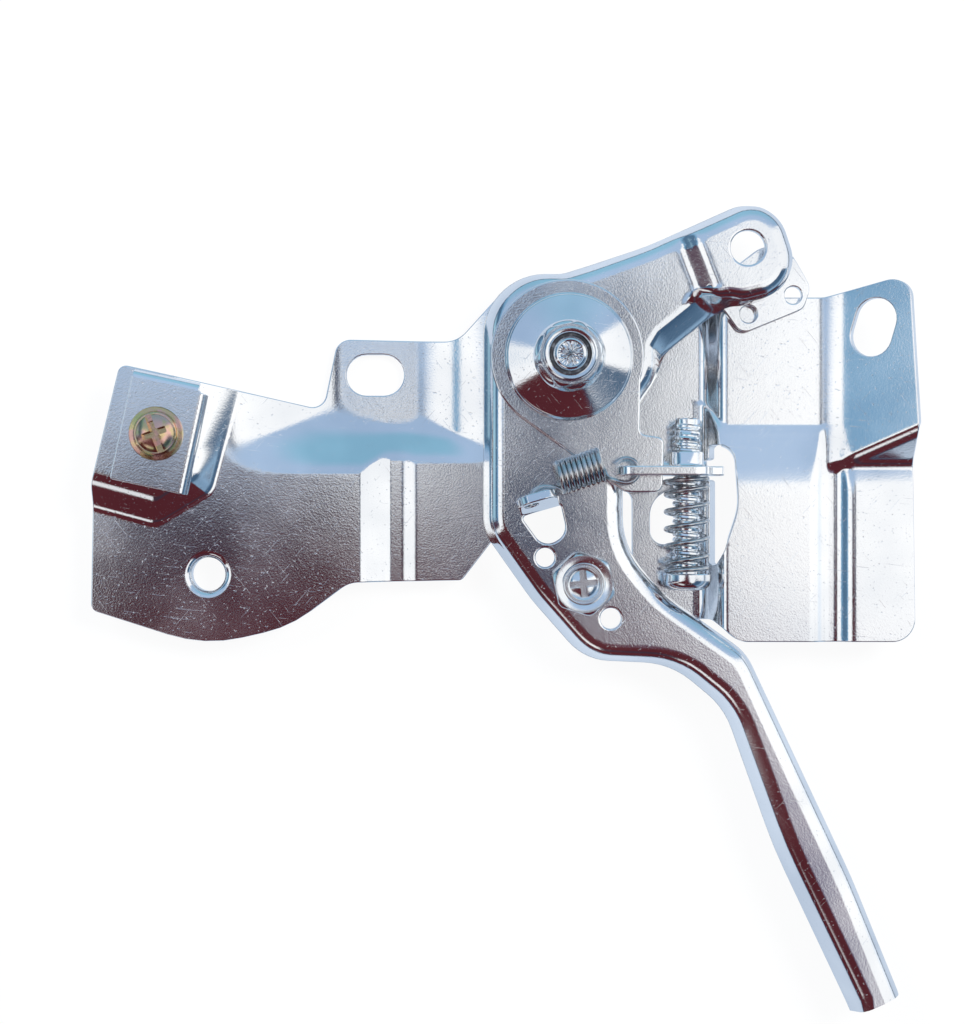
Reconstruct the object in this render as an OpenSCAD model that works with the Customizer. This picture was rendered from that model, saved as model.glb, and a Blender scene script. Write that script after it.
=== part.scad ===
// Throttle control assembly of a small engine: a stamped bracket that carries a hand lever.
// Millimetres. The pivot axis is Z, the bracket's middle web has its top face at Z = 0,
// X runs to the right wing and Y to the governor arm. Z points away from the engine.

/* [Bracket] */
// Thickness of the bracket's sheet
base_t = 1.6; // [1.2:0.1:2]
// Reach of the left wing from the pivot axis
wing_left = 84; // [80:0.5:90]
// Reach of the right wing from the pivot axis
wing_right = 60.9; // [58:0.5:66]
// Height of the left wing's face over the middle web
left_rise = 1.6; // [1:0.1:2]
// Depth of the left mounting pad below the middle web
pad_drop = 3; // [2:0.1:4]
// Height of the cable seat over the left wing
seat_rise = 3.5; // [2.5:0.1:4.5]
// Depth of the stiffening bead below the middle web
bead_drop = 0.4; // [0.2:0.1:0.8]
// Height of the right wing's upper field over the middle web
right_rise = 3; // [2:0.1:3.2]
// Further rise of the right wing's lower field
field_rise = 1.4; // [1:0.1:2]
// Depth of the right wing's groove
groove_drop = 1.4; // [0.8:0.1:1.8]
// Slope of the right mounting tab in degrees
tab_slope = 27; // [20:1:32]
// Width of the two mounting slots
slot_w = 7.3; // [6.6:0.1:8]
// Length of the two mounting slots
slot_l = 10.3; // [8.5:0.1:11.5]
// Bore of the collared hole in the left wing
collar_bore = 6; // [5:0.1:6.5]

/* [Pivot] */
// Diameter of the stud's shoulder that the lever turns on
shoulder_d = 10; // [9:0.1:11]
// Radial play of the lever on the shoulder
pivot_play = 0.05; // [0.03:0.01:0.1]
// Diameter of the stud's thread
thread_d = 6; // [5:0.1:6.5]
// Height of the cone spring as fitted
cone_h = 2.2; // [1.8:0.1:2.8]
// Height of the spacer
spacer_h = 3.8; // [3.2:0.1:4.6]
// Outer diameter of the spacer's flange
spacer_d = 22; // [18:0.5:24]
// Thickness of the tongue washer
washer_t = 1.5; // [1:0.1:1.7]
// Radius of the tongue washer's round end
washer_r = 13.3; // [12.6:0.1:13.6]
// Height of the dome in the tongue washer
dome_h = 2.4; // [1.5:0.1:2.8]
// Width across flats of the lock nut
nut_af = 10; // [9.5:0.1:11]
// Height of the lock nut
nut_h = 6; // [5.5:0.1:7]

/* [Lever] */
// Thickness of the lever's sheet
lever_t = 1.6; // [1.2:0.1:1.9]
// Reach of the handle from the pivot's axis to the middle of its end
handle_reach = 125; // [116:1:132]
// Outer bend radius of the lever's flanges
bend_r = 2.6; // [2.2:0.1:3]
// Splay of the lever's flanges in degrees
splay = 6; // [2:1:9]
// Clearance under the lever's flanges over the middle web
flange_gap = 1.2; // [0.8:0.1:1.6]
// Rise of the arm's end pad over the lever's web
pad_lift = 2; // [1.2:0.1:2.4]
// Diameter of the governor spring's hole in the arm
arm_hole_d = 6; // [5:0.1:6.5]
// Diameter of the two spring holes in the ear
ear_hole_d = 3; // [2.4:0.1:3.4]
// Diameter of the upper of the lever's two cable holes
cable_hole_a = 3.3; // [2.6:0.1:3.6]
// Diameter of the lower of the lever's two cable holes
cable_hole_b = 3.6; // [3:0.1:4]
// Width across flats of the lever's hexagon bolt
bolt_af = 10; // [9.5:0.1:10.5]
// Diameter of the hexagon bolt's thread
bolt_d = 6; // [5:0.1:6.2]
// Length of the hexagon bolt under its head
bolt_l = 6; // [5:0.1:6.8]

/* [Limit screw] */
// Diameter of the limit screw
screw_d = 5; // [4.5:0.1:5.2]
// Radial play of the limit screw in its tapped collar
screw_play = 0.05; // [0.03:0.01:0.1]
// Length of the limit screw under its head
screw_l = 27; // [25:0.5:28]
// Diameter of the limit screw's head
head_d = 8.8; // [8:0.1:9]
// Height of the limit screw's head
head_h = 2.9; // [2.4:0.1:3.4]
// Height of the limit screw's axis over the middle web
screw_z = 6.2; // [5.6:0.1:6.6]
// Outer diameter of the limit screw's spring
limit_od = 8; // [7.4:0.1:8]
// Wire of the limit screw's spring
limit_wire = 0.8; // [0.6:0.05:0.9]
// Turns of the limit screw's spring
limit_turns = 6.5; // [5:0.5:8]

/* [Return spring] */
// Outer diameter of the return spring
return_od = 6.2; // [5.4:0.1:6.6]
// Wire of the return spring
return_wire = 0.85; // [0.7:0.05:0.9]
// Turns of the return spring
return_turns = 9; // [7:1:9]

/* [Cable clamp] */
// Thickness of the clamp's sheet
clamp_t = 1.2; // [1:0.1:1.6]
// Width of the clamp
clamp_w = 12.5; // [11.5:0.1:13.5]
// Length of the clamp's face
clamp_l = 17.7; // [16.5:0.1:19]
// Gap under the clamp's face for the cable
clamp_gap = 1.6; // [1:0.1:2.2]
// Diameter of the clamp screw's head
clamp_head_d = 9.4; // [8.5:0.1:10]
// Diameter of the clamp screw's thread
clamp_screw_d = 5; // [4:0.1:5.2]

/* [Hidden] */
$fn = 48;

zinc = "#c3ccd6";
yellow_zinc = "#b79a5a";
wire_steel = "#b9bcc0";
dark_ring = "#33363b";

// One rounded corner is drawn in steps of about this many degrees
arc_step = 18;
// Far enough to cut through or to reach past everything
far = 200;
cut = 0.5;

// Levels above the middle web
lever_z = cone_h + spacer_h;
web_top = lever_z + lever_t;
dome_top = web_top + washer_t + dome_h;
nut_top = dome_top + nut_h;
left_top = left_rise;
seat_top = left_rise + seat_rise;
pad_top = -pad_drop;
field_top = right_rise + field_rise;
clamp_z = seat_top + clamp_gap;

// Small vector helpers
function unit(v) = v / norm(v);
function xy(p) = [p[0], p[1]];
function right_of(v) = [v[1], -v[0]];
function limit(v, low, high) = max(low, min(high, v));

// Corner b between a and c, rounded with radius r
function corner(a, b, c, r) =
    r <= 0 ? [b] :
    let (u = unit(a - b), w = unit(c - b),
         half = acos(limit(u * w, -1, 1)) / 2,
         mid = b + unit(u + w) * r / sin(half),
         p = b + u * r / tan(half) - mid,
         q = b + w * r / tan(half) - mid,
         turn = atan2(p[0] * q[1] - p[1] * q[0], p * q),
         steps = max(2, ceil(abs(turn) / arc_step)))
    [for (i = [0:steps])
        let (a = turn * i / steps)
        mid + [p[0] * cos(a) - p[1] * sin(a), p[0] * sin(a) + p[1] * cos(a)]];

// Closed outline and open path through corners given as [x, y, radius]
function outline(c) =
    let (n = len(c))
    [for (i = [0:n - 1]) each corner(xy(c[(i + n - 1) % n]), xy(c[i]), xy(c[(i + 1) % n]), c[i][2])];
function path(c) =
    let (n = len(c) - 1)
    [for (i = [0:n]) each (i == 0 || i == n ? [xy(c[i])] : corner(xy(c[i - 1]), xy(c[i]), xy(c[i + 1]), c[i][2]))];

// Faces of a skin over rings of m points
function skin_faces(rings, m) = concat(
    [[for (j = [0:m - 1]) j]],
    [[for (j = [m - 1:-1:0]) (rings - 1) * m + j]],
    [for (i = [0:rings - 2], j = [0:m - 1]) [(i + 1) * m + j, (i + 1) * m + (j + 1) % m, i * m + (j + 1) % m]],
    [for (i = [0:rings - 2], j = [0:m - 1]) [(i + 1) * m + j, i * m + (j + 1) % m, i * m + j]]);

// Round wire swept along points in space
function carried(v, t) = unit(v - t * (v * t));
module wire(points, r, start, sides = 6) {
    n = len(points) - 1;
    way = [for (i = [0:n]) unit(points[min(n, i + 1)] - points[max(0, i - 1)])];
    side = [for (i = 0, v = carried(start, way[0]); i <= n; i = i + 1, v = carried(v, way[min(i, n)])) v];
    rings = [for (i = [0:n], j = [0:sides - 1])
        points[i] + r * (side[i] * cos(360 * j / sides) + cross(way[i], side[i]) * sin(360 * j / sides))];
    polyhedron(rings, skin_faces(n + 1, sides));
}

// Prism whose section lies in X and Z, and runs along Y
module along_y(section, y0, y1) {
    translate([0, y1, 0])
        rotate([90, 0, 0])
            linear_extrude(y1 - y0)
                polygon(section);
}

// Prism whose section lies in Y and Z, and runs along X
module along_x(section, x0, x1) {
    translate([x0, 0, 0])
        rotate([90, 0, 90])
            linear_extrude(x1 - x0)
                polygon(section);
}

// Slot with round ends, long in X
module slot(l, w) {
    hull()
        for (side = [-1, 1])
            translate([side * (l - w) / 2, 0])
                circle(d = w);
}

// Bracket

base_corners = [
    [-wing_left, -44.2, 1.5],
    [0.4 - wing_left, -22.5, 6],
    [5.6 - wing_left, -1, 1.5],
    [-43.3, -8.7, 2.5],
    [-40.8, 3.9, 2.8],
    [-19.5, 3.4, 5],
    [-12, 11.5, 4],
    [8, 13, 4],
    [22, 10.8, 3],
    [45, 10.8, 4],
    [wing_right - 2, 14.4, 3.2],
    [wing_right - 0.5, -12.5, 20],
    [wing_right, -49.7, 4],
    [30, -49.7, 4.5],
    [25.2, -45.8, 1.5],
    [21, -46, 1],
    [11.5, -38.5, 3],
    [11.5, -23, 2],
    [-6.2, -23, 2],
    [-18.6, -39, 1.2],
    [-38.5, -39.4, 5],
    [-49, -47.2, 22],
    [-64, -50.6, 25]];

// Opening beside the spring tab, and window under the limit screw's spring
notch_corners = [[24.9, -15, 0.8], [29.2, -15.4, 3], [29.9, -26, 10], [27.4, -33.6, 5], [25, -38, 0.6]];
window_corners = [[14.7, -23, 4.5], [21.6, -23, 1], [21.6, -32.6, 2.4], [14.7, -32.6, 2.4]];

// Lug bent up from the middle web: it carries the limit screw and, over the washer's
// tongue, the return spring
tab_y = -19;
tab_root = [16.9, 24.8];
tab_left = 8.3;
tab_right = 27;
tab_rise = 2.4;
tab_bend = 1.2;
tab_slit = 0.6;
tab_hole_d = 2.6;
tab_over = 0.6;
return_z = web_top + washer_t + tab_over + return_od / 2;
tab_top = return_z + tab_rise;
tab_hole = [tab_left + 3.5, return_z];
screw_x = 20.6;
screw_collar = 2.6;

// Seat for the cable clamp, turned with the wing's edge
seat_turn = -15;
seat_at = [-71.4, -13.6];
seat_side = 10.8;
seat_front = -15.2;
seat_corner = -44;
seat_bevel = 12.7;
// Width of the seat's sloping walls: side, front, bevel
seat_wall = [3.6, 4.8, 3.8];

// Left mounting pad, pressed down between the wing and the middle web
pad_x = [-44, -23.2];
pad_y = -13;
pad_ramp = 13;
pad_wall = [5.4, 7.4];

pad_slot = [-34.1, -2.5];
tab_slot = [53.1, 5.3];
tab_slot_turn = 73;
fold_x = 46.3;
// Wall between the sloping tab and the field below it: where its foot is, and its rise
wall_y = -18;
wall_rise = 1.1;
wall_run = 40;
collar_at = [-63.4, -37.9];
collar_wall = 1.1;
collar_h = 2.4;
thread_collar = 2.2;

// Heights across the bracket as sections in X and Z
mid_section = path([
    [-far, left_top, 0],
    [-35.8, left_top, 1.5],
    [-32, -bead_drop, 1.5],
    [-28.5, -bead_drop, 1],
    [-27.3, 0, 1],
    [24.2, 0, 1.5],
    [24.2 + right_rise, right_rise, 1.5],
    [far, right_rise, 0]]);
field_section = path([
    [23, 0, 0],
    [24.2, 0, 1],
    [24.2 + right_rise, field_top, 1.5],
    [43.2, field_top, 1.5],
    [45, field_top - groove_drop, 1.2],
    [47.4, field_top - groove_drop, 1.2],
    [49.8, field_top, 1.2],
    [far, field_top, 0]]);
tab_section = path([
    [fold_x - 6, right_rise - 1, 0],
    [fold_x, right_rise, 0],
    [far, right_rise + (far - fold_x) * tan(tab_slope), 0]]);
function filled(section, low) =
    concat(section, [[section[len(section) - 1][0], low], [section[0][0], low]]);

// Solid ground whose top is the bracket's upper face, lowered by drop
module ground(drop) {
    low = -30;
    translate([0, 0, -drop]) {
        difference() {
            union() {
                along_y(filled(mid_section, low), -far, far);
                intersection() {
                    along_y(filled(field_section, low), -far, far);
                    along_x([[-far, low], [-far, far], [-22.7, field_top], [-11.5, right_rise], [0, low]], 0, far);
                }
                intersection() {
                    along_y(filled(tab_section, low), -far, far);
                    along_x([[wall_y - (field_top - low) / wall_rise, low], [wall_y, field_top],
                             [wall_y + wall_run, field_top + wall_run * wall_rise],
                             [wall_y + wall_run, low]], 0, far);
                }
                translate([seat_at[0], seat_at[1], 0])
                    rotate([0, 0, seat_turn])
                        seat_block(low);
            }
            intersection() {
                along_y([[pad_x[0], pad_top], [pad_x[0] - 4 * pad_ramp, left_top + 3 * (left_top - pad_top)],
                         [pad_x[0] - 4 * pad_ramp, far], [pad_x[1] + far * pad_wall[1] / pad_drop, far + pad_top],
                         [pad_x[1], pad_top]], -far, far);
                along_x([[pad_y, pad_top], [pad_y - 10 * pad_wall[0], pad_top + 10 * (left_top - pad_top)],
                         [far, pad_top + 10 * (left_top - pad_top)], [far, pad_top]], -far, 0);
            }
        }
    }
}

// Raised seat: its walls lean in from the foot to the top
module seat_block(low) {
    top = [seat_side - seat_wall[0], seat_front + seat_wall[1], seat_bevel - seat_wall[2]];
    run = seat_wall * (seat_top - low) / seat_rise;
    intersection() {
        along_y([[-far, low], [-far, seat_top], [top[0], seat_top], [top[0] + run[0], low]],
                -far, far);
        along_x([[top[1] - run[1], low], [top[1], seat_top], [far, seat_top], [far, low]],
                -far, far);
        rotate([0, 0, seat_corner])
            along_y([[-far, low], [-far, seat_top], [top[2], seat_top], [top[2] + run[2], low]],
                    -far, far);
    }
}

// Quarter bend and upright lug of the spring tab
module spring_tab() {
    bend = tab_bend + base_t;
    leg = tab_y - base_t;
    section = concat(
        [[leg, tab_bend + 1]],
        [for (a = [180:15:270]) [leg + bend, tab_bend] + bend * [cos(a), sin(a)]],
        [[leg + bend + cut, -base_t], [leg + bend + cut, 0]],
        [for (a = [270:-15:180]) [leg + bend, tab_bend] + tab_bend * [cos(a), sin(a)]],
        [[tab_y, tab_bend + 1]]);
    along_x(section, tab_root[0], tab_root[1]);
    translate([0, tab_y, 0])
        rotate([90, 0, 0])
            linear_extrude(base_t)
                polygon(outline([
                    [tab_root[0], tab_bend, 0],
                    [tab_root[0], web_top + washer_t + tab_over, 1],
                    [tab_left, web_top + washer_t + tab_over, 1.6],
                    [tab_left, tab_top, 2.2],
                    [tab_right - 3.4, tab_top, 2],
                    [tab_right - 2.6, screw_z + 3, 1.5],
                    [tab_right, screw_z + 2.4, 1],
                    [tab_right, screw_z - 2.6, 1],
                    [tab_root[1], screw_z - 3.6, 0.8],
                    [tab_root[1], tab_bend, 0]]));
    translate([screw_x, tab_y + screw_collar, screw_z])
        rotate([90, 0, 0])
            cylinder(d = screw_d + 2 * screw_play + 1.8, h = screw_collar);
}

module base_plate() color(zinc) {
    difference() {
        union() {
            difference() {
                intersection() {
                    translate([0, 0, -20])
                        linear_extrude(60)
                            polygon(outline(base_corners));
                    difference() {
                        ground(0);
                        ground(base_t);
                    }
                }
                // Lanced strip that the spring tab was bent up from
                translate([tab_root[0] - tab_slit, tab_y - base_t - tab_slit, -5])
                    cube([tab_root[1] - tab_root[0] + 2 * tab_slit, base_t + tab_slit + tab_bend, 10]);
            }
            spring_tab();
            // Drawn collar of the hole in the left wing
            translate([collar_at[0], collar_at[1], left_top - base_t - collar_h])
                cylinder(d = collar_bore + 2 * collar_wall, h = collar_h + base_t / 2);
            // Drawn collar under the seat, tapped for the clamp screw
            translate([clamp_at[0], clamp_at[1], seat_top - base_t - thread_collar])
                cylinder(d = clamp_screw_d + 2, h = thread_collar + base_t / 2);
        }
        translate([0, 0, -20])
            linear_extrude(40) {
                polygon(outline(notch_corners));
                polygon(outline(window_corners));
                translate(pad_slot)
                    slot(slot_l, slot_w);
            }
        translate([tab_slot[0], tab_slot[1], right_rise + (tab_slot[0] - fold_x) * tan(tab_slope)])
            rotate([0, -tab_slope, 0])
                rotate([0, 0, tab_slot_turn])
                    translate([0, 0, -10])
                        linear_extrude(20)
                            slot(slot_l, slot_w);
        // Bore and rounded mouth of the collared hole
        translate([collar_at[0], collar_at[1], -10])
            cylinder(d = collar_bore, h = 20);
        translate([collar_at[0], collar_at[1], left_top])
            rotate_extrude()
                polygon(concat(
                    [[0, -collar_wall], [0, 1], [collar_bore / 2 + collar_wall, 1]],
                    [for (a = [90:15:180])
                        [collar_bore / 2 + collar_wall, -collar_wall] + collar_wall * [cos(a), sin(a)]]));
        translate([clamp_at[0], clamp_at[1], 0])
            cylinder(d = clamp_screw_d, h = 20, center = true);
        translate([0, 0, -10])
            cylinder(d = rivet_d, h = 20);
        translate([screw_x, 0, screw_z])
            rotate([90, 0, 0])
                cylinder(r = screw_d / 2 + screw_play, h = 30);
        translate([tab_hole[0], 0, tab_hole[1]])
            rotate([90, 0, 0])
                cylinder(d = tab_hole_d, h = 30);
    }
}

// Pivot

rivet_d = shoulder_d - 2;
rivet_head_d = 13;
rivet_head_h = 1.5;
stud_end = nut_top - 0.6;
washer_off = [-0.3, 0.1];
dome_r = 10.8;
washer_bore = thread_d + 0.4;

// Shouldered stud, riveted into the bracket from below
module pivot_stud() color(zinc)
    rotate_extrude()
        polygon([
            [0, -base_t - rivet_head_h],
            [rivet_head_d / 2 - 1, -base_t - rivet_head_h],
            [rivet_head_d / 2, -base_t - rivet_head_h + 0.6],
            [rivet_head_d / 2, -base_t],
            [rivet_d / 2, -base_t],
            [rivet_d / 2, 0],
            [shoulder_d / 2, 0],
            [shoulder_d / 2, web_top - 0.2],
            [thread_d / 2, web_top - 0.2],
            [thread_d / 2, stud_end - 0.6],
            [thread_d / 2 - 0.6, stud_end],
            [0, stud_end]]);

// Cone spring that presses the lever up against the tongue washer
module cone_spring() color(wire_steel)
    rotate_extrude()
        polygon([
            [shoulder_d / 2 + 0.3, cone_h - 0.8],
            [shoulder_d / 2 + 0.3, cone_h],
            [shoulder_d / 2 + 1.3, cone_h],
            [spacer_d / 2 - 0.5, 0.8],
            [spacer_d / 2 - 0.5, 0],
            [spacer_d / 2 - 1.5, 0]]);

// Spacer between the cone spring and the lever
module spacer() color(zinc)
    translate([0, 0, cone_h])
        rotate_extrude()
            polygon(concat(
                [[shoulder_d / 2 + pivot_play, 0], [shoulder_d / 2 + 3, 0],
                 [shoulder_d / 2 + 3, spacer_h - 1.8], [spacer_d / 2, spacer_h - 1.8]],
                [[spacer_d / 2, spacer_h], [shoulder_d / 2 + pivot_play, spacer_h]]));

// Domed washer whose tongue lies against the spring tab and keeps it from turning
module tongue_washer() color(zinc)
    translate([0, 0, web_top]) {
        nose_right = tab_root[0] - 0.5;
        difference() {
            linear_extrude(washer_t)
                union() {
                    translate(washer_off)
                        circle(r = washer_r, $fn = 96);
                    polygon(outline([
                        [-7.7, -10.8, 0],
                        [9.6, -23.5, 3],
                        [nose_right - 0.2, -23.5, 1.5],
                        [nose_right, -14, 1.2],
                        [12.2, -13.4, 1.2],
                        [12.7, 0, 0],
                        [0, 0, 0]]));
                }
            translate([0, 0, -cut])
                cylinder(r = dome_r - 0.01, h = washer_t + 2 * cut, $fn = 96);
        }
        // Dome: two arcs of equal height over the same foot
        rotate_extrude($fn = 96)
            polygon(concat(
                [[dome_r, 0]],
                [[dome_r, washer_t]],
                [for (k = [1:8]) dome_point(k / 8) + [0, washer_t]],
                [for (k = [8:-1:1]) dome_point(k / 8)]));
    }
// Dome's lower face from its foot (k = 0) to the bore (k = 1)
function dome_point(k) =
    [dome_r + (washer_bore / 2 - dome_r) * k, dome_h * sin(90 * min(1, k * 1.55))];

// Flanged lock nut
module lock_nut() color(zinc) {
    flange_h = 1.2;
    flange_d = nut_af * 1.24;
    collar_d = nut_af * 0.92;
    translate([0, 0, dome_top])
        difference() {
            union() {
                cylinder(d1 = flange_d, d2 = flange_d - 1, h = flange_h);
                intersection() {
                    cylinder(d = nut_af / cos(30), h = nut_h - 1.5, $fn = 6);
                    cylinder(d1 = nut_af / cos(30) + 5, d2 = nut_af * 1.02, h = nut_h - 1.5);
                }
                cylinder(d = collar_d, h = nut_h - 0.3);
            }
            translate([0, 0, -cut])
                cylinder(d = thread_d, h = nut_h + 2 * cut);
            translate([0, 0, nut_h - 2])
                cylinder(d = nut_ring_d, h = 3);
        }
}
nut_ring_d = thread_d + 1.5;

// Locking ring in the nut's collar
module nut_ring() color(dark_ring)
    translate([0, 0, nut_top - 2])
        difference() {
            cylinder(d = nut_ring_d, h = 1.4);
            translate([0, 0, -cut])
                cylinder(d = thread_d, h = 3);
        }

// Lever: one stamping with the handle, the pivot web, the governor arm and their flanges

// Outer edge of the flange all round, as [x, y, radius]: from the handle's tip up its left
// side, round the arm, along the stop that meets the limit screw and down the right side
handle_more = (handle_reach - 125) * [0.425, -0.905];
handle_left = [
    [51.2 + handle_more[0], -118.4 + handle_more[1], 0], [36, -86, 90], [27.4, -61.5, 14], [18, -53.7, 14], [2.8, -53, 10], [-6.6, -42.3, 30]];
pivot_left = [[-15, -30.4, 9], [-15, 15.2, 11], [-1, 15.1, 6], [14, 19.8, 40]];
arm_end = [[35.6, 29.5, 7.4], [41.4, 11.7, 7.4]];
arm_stop = [[27.6, 9.1, 1.2], [27.4, 6, 0], [18.4, 0.2, 1.5], [16.6, -1.2, 1.5], [9.8, -12.5, 5]];
handle_right = [[9.8, -32.8, 14], [16.6, -41, 20], [31.5, -51.6, 10], [50, -91, 100],
                [59.6 + handle_more[0], -114.6 + handle_more[1], 0]];
tip = [[49.5, -114.8] + handle_more, [57.9, -111] + handle_more];

arm_turn = 20.9;
joggle = [25.2, 28];
stop_splay = 50;
stop_mid = [22.5, 2.5];
arm_gap = 0.6;
arm_under = right_rise + arm_gap;
pad_top_z = web_top + pad_lift;

// How far the flange leans out at a point, and how low it reaches
function lean_at(p) =
    splay + (stop_splay - splay) * limit((8 - norm(p - stop_mid)) / 2, 0, 1);
function foot_at(p) =
    flange_gap + (arm_under - flange_gap) * limit((p[0] - 4) / 12, 0, 1) * limit((p[1] + 9) / 6, 0, 1);

// Section of a flange: distance in from its outer edge, and height
function flange_section(foot, lean, top) =
    let (leg = (top - bend_r + (bend_r - lever_t) * sin(lean) - foot) / cos(lean),
         mid = [bend_r + leg * sin(lean), top - bend_r],
         way = [-sin(lean), -cos(lean)],
         inner = bend_r - lever_t,
         arc = [for (k = [0:4]) 180 - lean - (90 - lean) * k / 4])
    concat(
        [mid + bend_r * [cos(arc[0]), sin(arc[0])] + leg * way],
        [for (a = arc) mid + bend_r * [cos(a), sin(a)]],
        [for (k = [4:-1:0]) mid + inner * [cos(arc[k]), sin(arc[k])]],
        [mid + inner * [cos(arc[0]), sin(arc[0])] + leg * way]);

// Mitre of a closed path at point i, to the right of its direction of travel
function loop_mitre(p, i) =
    let (n = len(p), u = unit(p[i] - p[(i + n - 1) % n]), w = unit(p[(i + 1) % n] - p[i]),
         m = unit(right_of(u) + right_of(w)))
    m / (m * right_of(u));
function inset(p, d) = [for (i = [0:len(p) - 1]) p[i] + loop_mitre(p, i) * d];

// Triangles that fill a clockwise outline, found by clipping one ear after another
function side_of(a, b, c) = (b[0] - a[0]) * (c[1] - a[1]) - (b[1] - a[1]) * (c[0] - a[0]);
function covers(a, b, c, q) = side_of(a, b, q) < 0 && side_of(b, c, q) < 0 && side_of(c, a, q) < 0;
function is_ear(p, ids, a, b, c) =
    side_of(p[a], p[b], p[c]) < 0 && len([for (q = ids) if (covers(p[a], p[b], p[c], p[q])) q]) == 0;
function next_ear(p, ids, k = 0) =
    let (n = len(ids))
    k >= n || is_ear(p, ids, ids[(k + n - 1) % n], ids[k % n], ids[(k + 1) % n]) ? k % n : next_ear(p, ids, k + 1);
function clip_ears(p, ids, done = []) =
    len(ids) < 3 ? done :
    let (n = len(ids), e = next_ear(p, ids))
    clip_ears(p, [for (k = [0:n - 1]) if (k != e) ids[k]],
              concat(done, [[ids[(e + n - 1) % n], ids[e], ids[(e + 1) % n]]]));

// Sheet with a flange turned down all round: one section after another along the edge,
// and a flat web above and below
module tray(edge, sections) {
    n = len(edge);
    m = len(sections[0]);
    half = m / 2;
    points = [for (j = [0:m - 1], i = [0:n - 1])
        let (q = loop_mitre(edge, i) * sections[i][j][0])
        [edge[i][0] + q[0], edge[i][1] + q[1], sections[i][j][1]]];
    web = clip_ears([for (i = [0:n - 1]) points[half * n + i]], [for (i = [0:n - 1]) i]);
    strips = [for (j = [0:m - 1]) if (j != half - 1) j];
    polyhedron(points, concat(
        [for (t = web) [for (k = t) (half - 1) * n + k]],
        [for (t = web) [for (k = [2:-1:0]) half * n + t[k]]],
        [for (j = strips, i = [0:n - 1]) [j * n + i, j * n + (i + 1) % n, (j + 1) % m * n + (i + 1) % n]],
        [for (j = strips, i = [0:n - 1]) [j * n + i, (j + 1) % m * n + (i + 1) % n, (j + 1) % m * n + i]]));
}

d_hole = [[-8.2, -27.8, 0.6], [-4.3, -33.2, 2.6], [-0.2, -30.8, 2.8], [-1.4, -25.5, 0.6]];
d_tab_turn = 16;
d_tab_at = [-5.1, -25.8];
d_tab_lean = 12;
d_tab_w = 7;
d_tab_h = 7.8;
d_tab_hole_d = 2.6;
d_tab_hole = [-1.4, (return_z - web_top) / cos(d_tab_lean)];
bolt_at = [2.5, -39.3];
arm_hole = [30.9, 18.8];
ear_holes = [[31.5, 7.7], [39.3, 11]];
ear_corners = [[24, 12, 2], [37, 22, 5], [42.4, 12.4, 3], [41.2, 8.6, 2], [30.2, 4.1, 2.2], [27.4, 8, 1]];

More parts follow.
